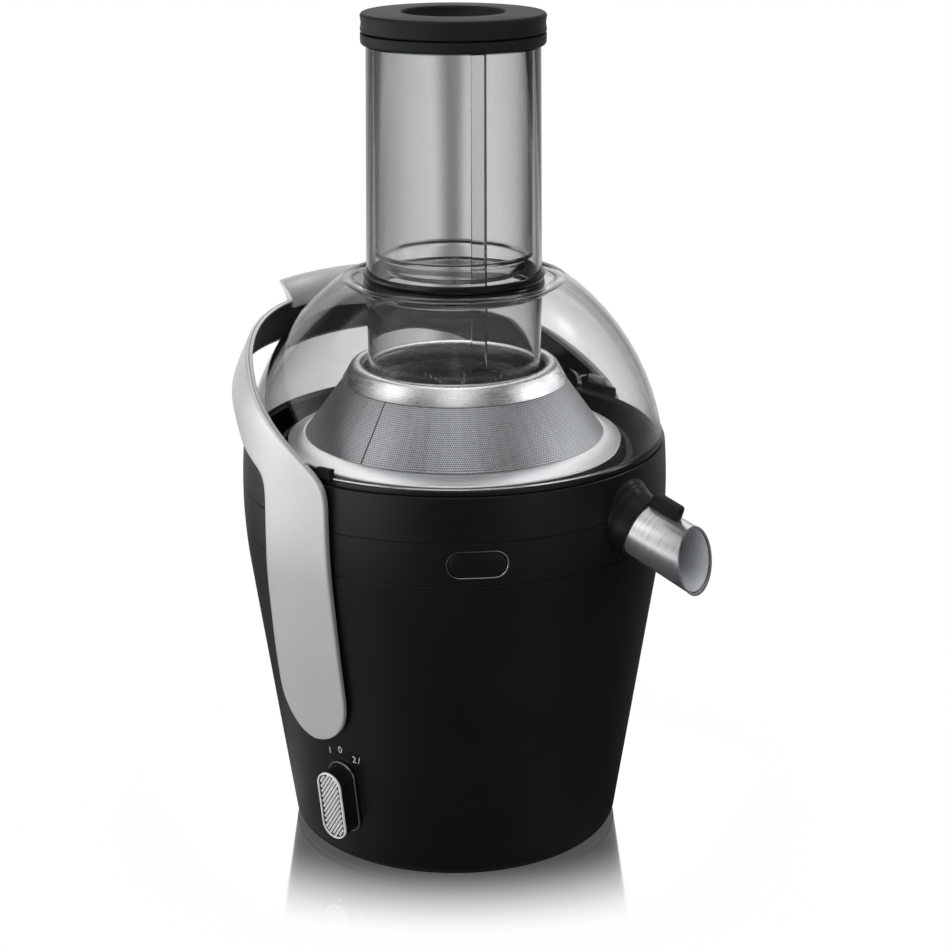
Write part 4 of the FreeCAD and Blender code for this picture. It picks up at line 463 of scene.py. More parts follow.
CORE = worked_metal("laminations", (0.12, 0.12, 0.13), (0.24, 0.24, 0.25), 0.46, 500.0,
                    stretch=(0.2, 0.2, 9.0))
SPRING = worked_metal("spring_wire", (0.30, 0.30, 0.32), (0.46, 0.46, 0.48), 0.30, 900.0,
                      stretch=(5.0, 0.5, 0.5))
CARBON = moulded("carbon", (0.018, 0.018, 0.019), (0.035, 0.035, 0.037), 0.62, grain=1500.0,
                 depth=0.00004)
BOARD = moulded("solder_mask", (0.006, 0.065, 0.025), (0.012, 0.105, 0.040), 0.34, grain=900.0)


def silver_paint():
    """Satin silver: fine metal flakes under a thin clear coat."""
    material, tree = new_material("silver_paint")
    place = object_place(tree)
    flakes = node(tree, "TexVoronoi", {"Vector": place, "Scale": 2600.0}).outputs["Color"]
    flake = node(tree, "SeparateColor", {0: flakes}).outputs[0]
    cloud = noise(tree, 22.0, 3.0)
    level = add(tree, times(tree, flake, 0.6), times(tree, cloud, 0.4))
    tint = spread(tree, level, (0.66, 0.67, 0.68), (0.80, 0.81, 0.82))
    surface(tree, Base_Color=tint, Metallic=0.6,
            Roughness=between(tree, flake, 0.36, 0.46),
            Coat_Weight=0.35, Coat_Roughness=0.16, Normal=bump(tree, flake, 0.000006, 0.5))
    return material


ROWS_PER_METRE, HOLES_ROUND = 1150.0, 420.0


def sieve_material():
    """Etched steel mesh: rows of round holes, each row half a step on from the last. The holes are
    not cut but painted near-black: painted shade of the basket's dark inside seen through them.
    """
    material, tree = new_material("sieve_mesh_steel")
    place = object_place(tree)
    x, y, z = xyz(tree, place)
    turn = calc(tree, "DIVIDE", calc(tree, "ARCTAN2", y, x), TAU)
    up = times(tree, z, ROWS_PER_METRE)
    row = calc(tree, "FLOOR", up)
    shift = times(tree, calc(tree, "PINGPONG", row, 1.0), 0.5)
    along = add(tree, times(tree, turn, HOLES_ROUND), shift)
    dx = calc(tree, "SUBTRACT", calc(tree, "FRACT", along), 0.5)
    dy = calc(tree, "SUBTRACT", calc(tree, "FRACT", up), 0.5)
    away = length(tree, flat_vector(tree, dx, dy))
    steel = between(tree, away, 0.0, 1.0, 0.20, 0.34)
    fine = noise(tree, 1.0, 4.0, round_place(tree, 30.0, 1400.0), 0.65)
    slopes = noise(tree, 1.0, 4.0, round_place(tree, 26.0, 12.0), 0.65)
    strokes = add(tree, times(tree, fine, 0.4), times(tree, slopes, 0.6))
    bright = spread(tree, between(tree, strokes, 0.0, 1.0, 0.3, 0.7), (0.44, 0.46, 0.47),
                    (0.66, 0.68, 0.69))
    # painted shade: the holes get a near-black colour in place of what shows through them
    tint = node(tree, "Mix", {0: steel, 6: grey(0.05, 0.055, 0.06), 7: bright}, data_type="RGBA")
    brushed_surface(tree, Base_Color=tint.outputs[2], Metallic=1.0, Anisotropic=0.7,
                    Roughness=between(tree, strokes, 0.30, 0.44, 0.3, 0.7),
                    Normal=bump(tree, steel, 0.00012, 0.6))
    return material


SILVER = silver_paint()
MESH_STEEL = sieve_material()

# ---- pusher

# the tube's inner rib and the pusher's groove for it: direction, half width, and the radius
# at which they are drawn
KEY_TURN = radians(-28.5)
KEY_HALF = 3.5
KEY_RADIUS = 40.0
GROOVE_HALF = KEY_HALF + 0.3


def close_round(half_width, steps=240):
    """Directions round a circle, with extra ones at both edges of a key."""
    edge = half_width / KEY_RADIUS
    extra = [KEY_TURN + side * edge * share
             for side in (-1, 1) for share in (0.90, 0.97, 1.03, 1.10)]
    plain = [TAU * step / steps - pi for step in range(steps)]
    plain = [angle for angle in plain if all(abs(angle - one) > 0.004 for one in extra)]
    return sorted(plain + [(angle + pi) % TAU - pi for angle in extra])


def in_key(angle, half_width):
    """1 over the key, 0 away from it."""
    off = abs((angle - KEY_TURN + pi) % TAU - pi) * KEY_RADIUS
    return max(0.0, min(1.0, (half_width * 1.03 - off) / (half_width * 0.06)))


finish(lathe("pusher_top_cap", [
    (0, 420.2), (45.2, 420.2), (46.2, 421.2, 1.2), (45.7, 424.8), (46.2, 428.0), (44.8, 429.6, 1.8),
    (27.0, 430.0), (25.5, 428.5, 1.6), (24.0, 425.2), (21.5, 423.5, -3.0), (0, 423.5)], 0.5),
    TRIM, "pusher", "black_trim", "pusher_cap")
finish(lathe("pusher_cap_ring", [
    (34.5, 413.9), (44.8, 413.9), (46.1, 415.5, 2.0), (46.2, 419.6), (34.5, 419.6)], 0.4),
    TRIM, "pusher", "black_trim", "pusher_ring")


def pusher_groove(angle, r, z):
    keyed = in_key(angle, GROOVE_HALF)
    return (r - 1.5 * keyed if r > 39.0 else r - 1.3 * keyed), z


def foot_groove(angle, r, z):
    return (r - 1.5 * in_key(angle, GROOVE_HALF) if r > 38.5 else r), z


pusher_angles = close_round(GROOVE_HALF)
finish(lathe("pusher_clear_tube", [(38.1, 311.2), (40.3, 311.2), (40.3, 413.8), (38.1, 413.8)],
             0.2, angles=pusher_angles, shape=pusher_groove, sharp=30.0),
       SMOKE_PUSHER, "pusher", "clear_plastic", "pusher_tube")
finish(lathe("pusher_clear_foot", [
    (0, 300.4), (34.5, 300.4), (35.5, 301.4, 1.0), (37.9, 307.4), (40.3, 309.4, -3.4),
    (40.3, 311.1), (38.1, 311.1), (36.4, 309.6, 3.0), (33.6, 302.8), (0, 302.8)], 0.3,
    angles=pusher_angles, shape=foot_groove),
    SMOKE_PUSHER, "pusher", "clear_plastic", "pusher_foot")

# ---- lid and feed tube

finish(lathe("lid_clear_dome", [
    (107.7, 216.7), (57.5, 296.8, 122.6), (52.0, 296.4, 4.6), (44.85, 291.5, -16.0), (44.85, 288.9),
    (52.5, 293.6, 14.0), (55.9, 294.0, -3.0), (105.1, 216.7, -120.0)], 0.25, 256),
    SMOKE_LID, "lid", "clear_plastic", "lid_dome")
finish(lathe("lid_black_foot", [
    (103.0, 210.4), (105.6, 210.4), (105.6, 213.9), (108.4, 213.9), (108.4, 216.0), (107.75, 216.65),
    (105.0, 216.65), (103.0, 214.6)], 0.3, 256),
    GLOSS, "lid", "rubber", "lid_seal")


def tube_rib(angle, r, z):
    if r < 42.8 and z > 257.0:
        keyed = in_key(angle, KEY_HALF)
        return r + (39.1 - r) * keyed, z
    return r, z


tube_angles = close_round(KEY_HALF)
finish(lathe("feed_clear_tube", [
    (41.6, 243.2), (44.2, 243.2), (44.8, 287.9), (44.8, 301.3), (43.5, 413.4), (40.9, 413.4),
    (42.2, 301.3), (42.2, 287.9), (42.0, 258.2), (42.0, 257.0)], 0.3, angles=tube_angles,
    shape=tube_rib, sharp=30.0),
    SMOKE_TUBE, "lid", "clear_plastic", "feed_tube")
finish(lathe("tube_black_collar", [
    (44.82, 291.8), (45.6, 291.8), (45.6, 296.1, 3.0), (45.2, 296.6, -0.6), (45.4, 301.3, 3.0),
    (44.82, 301.3)], 0.2),
    GLOSS, "lid", "black_trim", "tube_collar")

# ---- sieve basket

finish(lathe("sieve_bright_crown", [
    (58.1, 243.2), (53.5, 251.3), (50.2, 252.9, 4.6), (46.8, 250.1, 3.6), (46.8, 237.1),
    (48.0, 237.1), (48.0, 250.0), (50.3, 251.7, -2.4), (52.6, 250.6, -3.4), (56.9, 243.2)], 0.25),
    CROWN_STEEL, "spindle", "steel", "sieve_crown")
finish(lathe("sieve_cone", [
    (56.8, 243.1), (57.6, 243.1), (77.4, 216.1), (76.8, 215.6)], 0.05, 240),
    MESH_STEEL, "spindle", "steel", "sieve_mesh")
finish(swept("sieve_weld_seam", [(57.5, 243.0), (57.75, 243.0), (77.55, 216.2), (77.3, 216.2)],
             radians(-82.3), radians(-81.7), 4, round_off=0.1, soft=0.05),
       SEAM_STEEL, "spindle", "steel")
finish(lathe("sieve_bright_rim", [
    (75.4, 215.5), (76.9, 216.4), (78.6, 215.9, 1.2), (86.0, 213.2, -24.0), (86.6, 212.0, -1.0),
    (86.6, 206.6), (85.4, 206.6), (85.4, 211.4), (75.4, 214.3)], 0.25),
    RIM_STEEL, "spindle", "steel", "sieve_rim")
# the disc carries the near-black steel: painted shade inside the basket
finish(lathe("grater_disc_painted_shade", [
    (6.0, 235.4), (47.9, 235.4), (47.9, 237.0), (6.0, 237.0)], 0.2, 144),
    DISC_STEEL_PAINTED_SHADE, "spindle", "steel", "grater_disc")

TOOTH_ROWS, ROW_TEETH, ROW_TWIST = 12, 6, 0.024
TOOTH_STEPS = 10
FIRST_TOOTH, LAST_TOOTH = 13.0, 41.3
# (radius, lean, height) of a tooth's foot, waist and tip
TOOTH = ((0.95, 0.0, 236.9), (0.72, 0.10, 237.8), (0.30, 0.30, 238.5))


def grater_teeth():
    """Rows of small leaning teeth on the disc."""
    bm = bmesh.new()
    for row in range(TOOTH_ROWS):
        for number in range(ROW_TEETH):
            reach = FIRST_TOOTH + (LAST_TOOTH - FIRST_TOOTH) * number / (ROW_TEETH - 1)
            angle = TAU * row / TOOTH_ROWS + ROW_TWIST * number
            along = Vector((-sin(angle), cos(angle)))
            out = Vector((cos(angle), sin(angle)))
            rings = []
            for size, lean, z in TOOTH:
                ring = []
                for step in range(TOOTH_STEPS):
                    turn = TAU * step / TOOTH_STEPS
                    at = out * (reach + size * cos(turn))
                    ring.append((*(at + along * (size * sin(turn) + lean)), z))
                rings.append(ring)
            capped(bm, rings)
    return new_object("grater_teeth", bm)


finish(grater_teeth(), TOOTH_STEEL, "spindle", "steel")
finish(lathe("disc_black_nut", [
    (0, 212.5), (5.9, 212.5), (5.9, 237.0), (8.5, 237.0), (8.5, 238.4), (5.0, 240.4, 4.0),
    (0, 240.8)], 0.4), TRIM, "spindle", "black_trim", "disc_nut")

# ---- locking arm

# radius of the arm's outer face and the arm's thickness, by height: along the body, then the dome
ARM_STAND_OFF = 5.7
ARM_OUTER = [(z, body_radius(z) + ARM_STAND_OFF) for z in (60.0, 122.0, 168.5)] + [
    (187.0, 116.4), (236.0, 115.7), (240.5, 115.4), (246.0, 114.3), (253.5, 111.4), (275.0, 101.5),
    (290.0, 94.6)]
ARM_THICK = [(60.0, 3.1), (122.0, 3.1), (168.5, 3.7), (300.0, 3.7)]


def smooth_out(table, z, reach=9.0):
    """The table's value at a height, averaged over a reach up and down."""
    return sum(blend_between(table, z + reach * step / 4) for step in range(-4, 5)) / 9


def arm_face(z, depth):
    """Radius of the arm at a height, a share of its thickness in from the outer face."""
    return smooth_out(ARM_OUTER, z) - depth * smooth_out(ARM_THICK, z)


def arm_turn(x, z):
    """Direction round the spindle of a point at x, from the arm's centre line."""
    return asin(max(-1.0, min(1.0, -x / arm_face(z, 0.0))))


def along(keys, counts):
    """Even stations along an edge of the arm, so many to each stretch between its keys."""
    stations = []
    for stretch, count in zip(keys, counts):
        lengths = [0.0]
        for (x0, z0), (x1, z1) in zip(stretch, stretch[1:]):
            lengths.append(lengths[-1] + hypot(x1 - x0, z1 - z0))
        for step in range(count):
            at = lengths[-1] * step / count
            index = max(i for i, length in enumerate(lengths[:-1]) if length <= at)
            share = (at - lengths[index]) / (lengths[index + 1] - lengths[index])
            (x0, z0), (x1, z1) = stretch[index:index + 2]
            stations.append((x0 + (x1 - x0) * share, z0 + (z1 - z0) * share))
    stations.append(keys[-1][-1])
    return stations


def unrolled(points):
    """(x, z) points as (twice the degrees from the pivots, z)."""
    return [(degrees(arm_turn(x, z)) * 2.0, z) for x, z in points]


# the arm's two edges, in stretches from the foot to the grip, and the height of each at the middle
FRONT_EDGE = ([(1.0, 73.0), (6.0, 73.4), (21.5, 87.0, 24.0), (23.5, 97.0, 40.0), (23.5, 206.0)],
              [(23.5, 206.0), (17.5, 219.0, 15.0), (4.0, 227.5), (-9.0, 235.0), (-23.0, 243.0)],
              [(-23.0, 243.0), (-36.0, 250.0), (-56.0, 260.0, 120.0), (-72.0, 266.4),
               (-84.0, 270.2), (-96.0, 272.5)])
BACK_EDGE = ([(1.0, 73.0), (-4.0, 73.2), (-16.5, 80.5, -22.0), (-24.5, 95.0, -26.0),
              (-24.5, 113.0), (-22.6, 150.0), (-20.0, 177.0), (-19.5, 200.0)],
             [(-19.5, 200.0), (-20.6, 208.0), (-28.0, 214.5, 12.0), (-36.0, 217.6), (-44.0, 221.5)],
             [(-44.0, 221.5), (-62.0, 235.5, 60.0), (-80.0, 243.8), (-96.0, 249.0, 150.0)])
FRONT_TOP, BACK_TOP, MIDDLE = 272.5, 249.0, 180.0


def arm_edge(stretches, top):
    """An edge of one half of the arm, from the foot to the middle of the grip."""
    edge = [unrolled(expand(stretch)) for stretch in stretches]
    edge[-1].append((MIDDLE, top))
    return edge


def relax(stations, rounds=6):
    """Evens out small kinks along an edge, ends held."""
    for _ in range(rounds):
        stations = [stations[0]] + [
            ((a[0] + 2 * b[0] + c[0]) / 4, (a[1] + 2 * b[1] + c[1]) / 4)
            for a, b, c in zip(stations, stations[1:], stations[2:])] + [stations[-1]]
    return stations


ARM_STATIONS = (70, 26, 60)
ACROSS_ARM = (0.12, 0.25, 0.5, 0.75, 0.88)


def arm_grid(name, rows, start=0.0):
    """The arm between two depths of its thickness, as a closed sheet with rounded edges.

    rows gives (distance in from an edge, depth) steps over the edge, from the outer face inward,
    for a share of the way along the arm and a direction in degrees from the pivots.
    """
    front, back = (relax(along(arm_edge(*edge), ARM_STATIONS))
                   for edge in ((FRONT_EDGE, FRONT_TOP), (BACK_EDGE, BACK_TOP)))
    bm = bmesh.new()
    half = []
    for station, (f, b) in enumerate(zip(front, back)):
        turn = (f[0] + b[0]) / 4.0
        so_far = station / (len(front) - 1)
        if so_far < start:
            continue
        f, b = Vector(f), Vector(b)
        width = max((f - b).length, 0.5)
        near = rows(so_far, turn)
        face = [(b + (f - b) * min(inset / width, 0.45), depth) for inset, depth in near[::-1]]
        face += [(b + (f - b) * share, near[0][1]) for share in ACROSS_ARM]
        face += [(f + (b - f) * min(inset / width, 0.45), depth) for inset, depth in near]
        face += [(b + (f - b) * share, near[-1][1]) for share in reversed(ACROSS_ARM)]
        half.append([(place[0], place[1], depth) for place, depth in face])
    whole = [(-1, ring) for ring in half] + [(1, ring) for ring in reversed(half[:-1])]
    rings = []
    for side, ring in whole:
        points = []
        for turn, z, depth in ring:
            along_y, along_x, z = round_axis(arm_face(z, depth), radians(turn / 2.0), z)
            points.append((-along_x, side * along_y, z))
        rings.append(points)
    capped(bm, rings)
    return new_object(name, bm, 50.0)


# share of the way along the arm at which the dark liner starts
LINER_START = 0.42


def silver_rows(share, turn):
    """The silver arm's edge: a rounded outer corner, a groove high up, a lip round the liner."""
    deep = max(0.0, min(1.0, (share - 0.50) / 0.10))
    bed = 1.0 if share < LINER_START - 0.006 else 0.75
    lip = liner_inset(turn) - 0.15
    return [(1.8, 0.0), (1.0, 0.015), (0.5, 0.055), (0.15, 0.12), (0.0, 0.20), (0.0, 0.36),
            (deep, 0.38), (deep, 0.48), (0.0, 0.50), (0.0, 0.90), (0.12, 0.96), (0.4, 1.0),
            (lip - 0.15, 1.0), (lip, 0.99 if bed < 1.0 else 1.0), (lip + 0.01, bed),
            (lip + 1.0, bed)]


def liner_inset(turn):
    """How far the dark liner stays in from the arm's edges: wide at the shoulder, narrow behind."""
    return 4.5 - 3.3 * max(0.0, min(1.0, (turn - 10.0) / 22.0))


def liner_rows(_share, turn):
    """The edge of the liner, sunk a little into the arm's inner face."""
    edge = liner_inset(turn)
    return [(edge + 1.4, 0.765), (edge + 0.4, 0.77), (edge + 0.05, 0.80), (edge, 0.86),
            (edge + 0.05, 0.95), (edge + 0.3, 0.985), (edge + 1.2, 0.99)]


finish(arm_grid("arm_silver_shell", silver_rows), SILVER, "arm", "silver_paint", "locking_arm")
finish(arm_grid("arm_dark_liner", liner_rows, LINER_START), TRIM, "arm", "black_trim", "arm_liner")

GRIP_HALF_TURN = 27.0 / 102.0
finish(swept("arm_grip_lip", [
    (98.2, 268.5), (102.4, 268.8), (102.8, 272.6), (107.6, 282.2, -26.0), (107.0, 283.0, 1.0),
    (105.0, 282.0), (98.8, 272.6, 26.0)], pi - GRIP_HALF_TURN, pi + GRIP_HALF_TURN, 40),
    SILVER, "arm", "silver_paint")


def hook(name, side):
    """The tooth of the arm that reaches in over the lid's flange."""
    bm = bmesh.new()
    rings = []
    line = soften([(-2.0, 219.9), (10.0, 219.9), (10.0, 224.9), (-2.0, 224.9)], 0.9)
    middle_x, middle_z = 4.0, 222.4
    for reach, inset in ((110.4, 0.8), (110.7, 0.3), (111.2, 0.0), (113.8, 0.0)):
        ring = []
        for x, z in line:
            in_x = inset if x < middle_x else -inset
            in_z = inset if z < middle_z else -inset
            ring.append((x + in_x, side * reach, z + in_z))
        rings.append(ring)
    capped(bm, rings)
    return new_object(name, bm)


def clip(name, side):
    """A bent sheet clip on the arm's inner face, with two prongs over the lid."""
    bm = bmesh.new()
    strips = (((-11.0, 210.5), (-10.0, 214.0), (-9.0, 218.0), (-9.5, 221.0)),
              ((-9.5, 221.0), (-12.0, 223.5), (-15.5, 225.0)),
              ((-9.3, 221.0), (-6.5, 223.0), (-3.0, 224.0)))
    for number, strip in enumerate(strips):
        rings = []
        for index, (x, z) in enumerate(strip):
            x0, z0 = strip[max(index - 1, 0)]
            x1, z1 = strip[min(index + 1, len(strip) - 1)]
            run = Vector((x1 - x0, z1 - z0)).normalized()
            wide = 1.7 if number == 0 and index > 0 else 1.0
            if number and index == len(strip) - 1:
                wide *= 0.6
            ring = []
            for across, out in ((-wide, 113.2), (-wide, 111.1), (-wide * 0.6, 110.5),
                                (wide * 0.6, 110.5), (wide, 111.1), (wide, 113.2)):
                ring.append((x - run[1] * across, side * (out - 0.1 * number),
                             z + run[0] * across))
            rings.append(ring)
        capped(bm, rings)
    return new_object(name, bm, 30.0)


for word, side in (("front", -1), ("back", 1)):
    finish(hook("arm_lock_hook_" + word, side), SILVER, "arm", "silver_paint")
    finish(clip("arm_spring_clip_" + word, side), CHROME, "arm", "silver_paint")

# ---- spout

spout_frame = side_frame(SPOUT_AZIMUTH, SPOUT_FALL, SPOUT_ROOT, SPOUT_HEIGHT)
SLANT = tan(radians(SPOUT_SLANT))
TUBE_START, TUBE_END = 4.0, 42.9


def slanted(angle, r, z):
    """Spout sections are drawn 0 to 100 along the tube, and end on the slanted cut."""
    end = TUBE_END - r * cos(angle) * SLANT
    return r, TUBE_START + (end - TUBE_START) * z / 100.0


finish(lathe("spout_steel_tube", [
    (13.6, 0.0), (14.4, 0.0), (14.4, 16.0), (15.1, 99.2), (14.7, 100.0, 0.4), (14.3, 99.2, 0.4),
    (13.6, 16.0)], 0.1, 128, shape=slanted, sharp=60.0),
    SPOUT_STEEL, "spout", "steel", "spout_tube", place=spout_frame)
# a thin sheet just inside the spout's wall carries that paler steel: painted light on the spout's
# inside
finish(lathe("spout_inner_painted_light", [
    (13.45, 58.0), (13.58, 58.0), (13.9, 97.0), (13.8, 97.0)], 0.02, 128, shape=slanted,
    sharp=60.0), SPOUT_INSIDE_PAINTED_LIGHT, "spout", "steel", place=spout_frame)
finish(lathe("spout_black_collar", [
    (11.5, -7.0), (21.1, -7.0), (20.2, -4.0), (19.6, -2.4), (18.3, 0.6, -7.0), (16.9, 4.6, -16.0),
    (15.9, 10.3), (14.75, 10.3), (14.7, 3.6), (13.5, 3.4), (13.5, 19.0), (12.8, 20.0),
    (11.5, 20.0)], 0.3, 128), BODY, "base", "black_trim", "spout_collar", place=spout_frame)

# the radius that the lever's foot sits on
LEVER_SEAT = 14.75


def lever():
    """The small tab on top of the spout, its foot shaped to the tube."""
    bm = bmesh.new()
    side = soften(expand([(13.2, 10.8), (20.0, 10.8), (21.6, 12.4, 1.6), (21.6, 25.7),
                          (20.0, 27.3, 1.6), (14.6, 27.3)]), 0.8)
    middle = Vector((18.0, 19.0))
    rings = []
    for across, inset in ((-2.8, 0.7), (-2.6, 0.25), (-2.2, 0.0), (2.2, 0.0), (2.6, 0.25),
                          (2.8, 0.7)):
        ring = []
        for up, out in side:
            shift = (middle - Vector((up, out))).normalized() * inset
            lift = max(0.0, sqrt(LEVER_SEAT ** 2 - across ** 2) - up - shift[0])
            ring.append((up + shift[0] + lift, across, out + shift[1]))
        rings.append(ring)
    capped(bm, rings)
    return new_object("spout_thumb_lever", bm)


finish(lever(), TRIM, "spout", "black_trim", "spout_lever", place=spout_frame)

# ---- release button

button_at = on_body(BUTTON_AZIMUTH + FROM_X, BUTTON_HEIGHT)


def sideways(put):
    """The same placing with the pill's long way round the body."""
    return lambda long_way, short_way, out: put(short_way, long_way, out)


# painted highlight: a thin chrome ring round the button stands for the light caught on the edges of
# the gap round it
finish(pill("button_rim_painted_highlight", BUTTON_STRAIGHT, [
    (6.5, -4.0), (7.3, -4.0), (7.3, -0.15), (7.22, 0.0), (6.95, 0.05), (6.62, 0.0), (6.5, -0.15),
    (6.5, -4.0)], sideways(button_at)), CHROME, "base", "bright_trim", "button_bezel")
finish(pill("button_black_cap", BUTTON_STRAIGHT, [
    (0.0, -5.0), (6.2, -5.0), (6.2, -0.9), (6.0, -0.55), (5.5, -0.35), (3.0, -0.3), (0.0, -0.3)],
    sideways(button_at)), BODY, "button", "body_black", "release_button")

# ---- knob

knob_reach = body_radius(KNOB_HEIGHT)
knob_slope = degrees(atan2(body_radius(KNOB_HEIGHT + 1.0) - knob_reach, 1.0))
knob_frame = side_frame(KNOB_AZIMUTH + FROM_X, knob_slope, knob_reach, KNOB_HEIGHT)


finish(pill("knob_black_grip", KNOB_STRAIGHT, [
    (0.0, 0.7), (8.5, 0.7), (8.5, 1.0), (8.1, 1.25), (7.65, 1.35), (7.55, 1.6), (7.45, 9.6),
    (7.45, 10.9), (0.0, 10.9)]), GLOSS, "knob", "black_trim", "control_knob", place=knob_frame)
finish(pill("knob_bright_foot", KNOB_STRAIGHT, [
    (8.1, 0.75), (8.8, 0.75), (8.8, 1.5), (8.68, 1.75), (8.4, 1.85), (8.2, 1.7), (8.1, 1.3),
    (8.1, 0.75)]), CHROME, "knob", "bright_trim", place=knob_frame)
finish(pill("knob_dark_field", KNOB_STRAIGHT, [
    (0.0, 11.3), (6.7, 11.3), (6.7, 11.36), (0.0, 11.36)]), GLOSS, "knob", "black_trim",
    place=knob_frame)

# the knurl's diamonds: size, share of it that their feet and tops take, and heights
DIAMOND_TALL, DIAMOND_WIDE = 3.0, 2.1
DIAMOND_FOOT, DIAMOND_TOP = 0.43, 0.24
DIAMOND_LOW, DIAMOND_HIGH = 11.25, 11.93
KNURL_ROWS, KNURL_COLUMNS, KNURL_RADIUS = 14, 8, 6.3


def knurl():
    """The bright face: a raised rim round rows of small diamond points."""
    bm = bmesh.new()
    skin(bm, [[(up, side, out) for up, side in pill_line(KNOB_STRAIGHT, radius)]
              for radius, out in ((0.0, 10.92), (7.6, 10.92), (7.6, 11.7), (7.45, 12.0),
                                  (7.15, 12.15), (6.85, 12.0), (6.75, 11.6), (6.75, 11.3),
                                  (0.0, 11.3))])
    foot_tall, foot_wide = DIAMOND_TALL * DIAMOND_FOOT, DIAMOND_WIDE * DIAMOND_FOOT
    for row in range(-KNURL_ROWS, KNURL_ROWS + 1):
        for column in range(-KNURL_COLUMNS, KNURL_COLUMNS + 1):
            up, side = row * DIAMOND_TALL / 2, column * DIAMOND_WIDE / 2
            inside = hypot(max(0.0, abs(up) - KNOB_STRAIGHT), side)
            if (row + column) % 2 or inside > KNURL_RADIUS:
                continue
            corners = [(foot_tall, 0.0), (0.0, foot_wide), (-foot_tall, 0.0), (0.0, -foot_wide)]
            capped(bm, [[(up + a * share, side + b * share, out) for a, b in corners]
                        for share, out in ((1.0, DIAMOND_LOW), (DIAMOND_TOP, DIAMOND_HIGH))])
    return new_object("knob_knurled_face", bm, 25.0)


finish(knurl(), KNURL, "knob", "knob_face", "knob_face", place=knob_frame)

# ---- dial marks

def mark(name, text, azimuth, height):
    """Printed figures on the body's side, facing out."""
    curve = bpy.data.curves.new(name, "FONT")
    curve.body = text
    curve.size = 5.4
    curve.align_x = curve.align_y = "CENTER"
    curve.extrude = 0.02
    curve.space_character = 1.35
    curve.resolution_u = 8
    holder = bpy.data.objects.new(name, curve)
    bpy.context.scene.collection.objects.link(holder)
    bpy.context.view_layer.update()
    mesh = bpy.data.meshes.new_from_object(holder)
    bpy.data.objects.remove(holder)
    put = on_body(azimuth + FROM_X, height)
    for vertex in mesh.vertices:
        sideways_by, up, out = vertex.co
        vertex.co = Vector(put(up, -sideways_by, 0.03 + out)) * MM
    made = bpy.data.objects.new(name, mesh)
    bpy.context.scene.collection.objects.link(made)
    return finish(made, MARKS, "base", "silver_paint")


for name, figures, azimuth, height in (("mark_one", "1", 2.4, 65.0), ("mark_zero", "0", 6.8, 67.3),
                                       ("mark_two", "2/", 12.6, 63.8)):
    mark(name, figures, azimuth, height)

# ---- carried-over CAD pieces

CAD_MATERIALS = {
    BODY: ("pulp_container", "housing_band", "motor_housing"),
    TRIM: ("base_plate", "lid_lugs", "arm_retainers", "sieve_hub", "drive_coupling",
           "safety_switch", "juice_channel", "pulp_bowl"),
    RUBBER: ("anti_slip_ring", "cord_gland", "vibration_mounts", "shaft_seal"),
    TURNED: ("arm_pivot_pins", "motor_shaft", "knob_shaft", "upper_bearing", "lower_bearing",
             "motor_bolts", "deck_screws", "base_screws"),
    CORE: ("armature_core", "stator_core"),
    COPPER: ("armature_windings", "commutator", "field_coils"),
    FAN: ("cooling_fan", "brush_holders", "motor_deck", "arm_bushes", "rotary_switch"),
    ZINC: ("upper_bracket", "lower_bracket"),
    CARBON: ("carbon_brushes",),
    SPRING: ("button_spring",),
    BOARD: ("control_board",),
}
for material, names in CAD_MATERIALS.items():
    for name in names:
        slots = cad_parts[name].material_slots
        for index in range(len(slots)):
            slots[index].material = material

# ---- camera, floor and light

camera_data = bpy.data.cameras.new("camera")
camera_data.lens = 82.83
camera_data.sensor_width = 36.0
camera_data.clip_end = 60.0
camera = bpy.data.objects.new("camera", camera_data)
# the photographer's place, in metres
LENS_X, LENS_Y = 0.767, -0.780
camera.location = (LENS_X, LENS_Y, 0.543)
camera.rotation_euler = (radians(72.11), 0.0, radians(43.96))
bpy.context.scene.collection.objects.link(camera)
bpy.context.scene.camera = camera

CAMERA_SIDE = atan2(camera.location.y, camera.location.x)


def toward(turn, lift=0.0):
    """A direction: turn 0 is the camera's side, positive to the camera's right, then upward."""
    angle, rise = CAMERA_SIDE + radians(turn), radians(lift)
    return (cos(angle) * cos(rise), sin(angle) * cos(rise), sin(rise))


def glows(tree, direction, patches):
    """How much light comes from a direction, out of a table of soft patches."""
    total = 0.0
    for turn, lift, sharpness, strength in patches:
        near = dot(tree, direction, toward(turn, lift))
        patch = calc(tree, "POWER", calc(tree, "MAXIMUM", near, 0.0), sharpness)
        total = add(tree, times(tree, patch, strength), total)
    return total


# Patches of light, each (turn, lift, sharpness, strength), with the angles of toward().
# Tall panels round the object show in reflections, and faintly through clear parts:
PANELS = ((-52.0, 0.0, 12.0, 1.0), (-98.0, 0.0, 14.0, 1.5), (42.0, 0.0, 14.0, 0.28),
          (172.0, 0.0, 2.2, 0.42), (-150.0, 0.0, 20.0, 0.25))
# Highlights above it show only in reflections:
HIGHLIGHTS = ((-97.0, 42.0, 16.0, 0.15), (180.0, 24.0, 18.0, 1.06), (118.0, 38.0, 260.0, 5.0),
              (-58.0, 37.0, 24.0, 1.1))
# The pale wall behind the object, and dimmer ones on the other sides, show through clear parts:
WALL = ((177.0, 0.0, 45.0, 1.16), (0.0, 0.0, 2.0, 0.30), (80.0, 0.0, 2.0, 0.30),
        (-80.0, 0.0, 2.0, 0.30))
# The ceiling shows only to rays that crossed clear faces more often than this, as they do on
# their way in and out of the lid, so only in the metal under it:
LID_CROSSINGS = 3.0
CEILING = ((4.0, 58.0, 26.0, 0.9), (0.0, 43.0, 40.0, 1.5), (-78.0, 38.0, 50.0, 3.8),
           (180.0, 60.0, 12.0, 4.0), (0.0, 82.0, 14.0, 2.2), (93.0, 25.0, 40.0, 4.4),
           (129.0, 16.0, 50.0, 2.8))
# Upright bands of the wall as seen from the photographer's place: (sideways, half width, change)
BANDS = ((-0.0045, 0.0115, -0.62), (0.0030, 0.0075, -0.40), (-0.0225, 0.0080, 0.10))


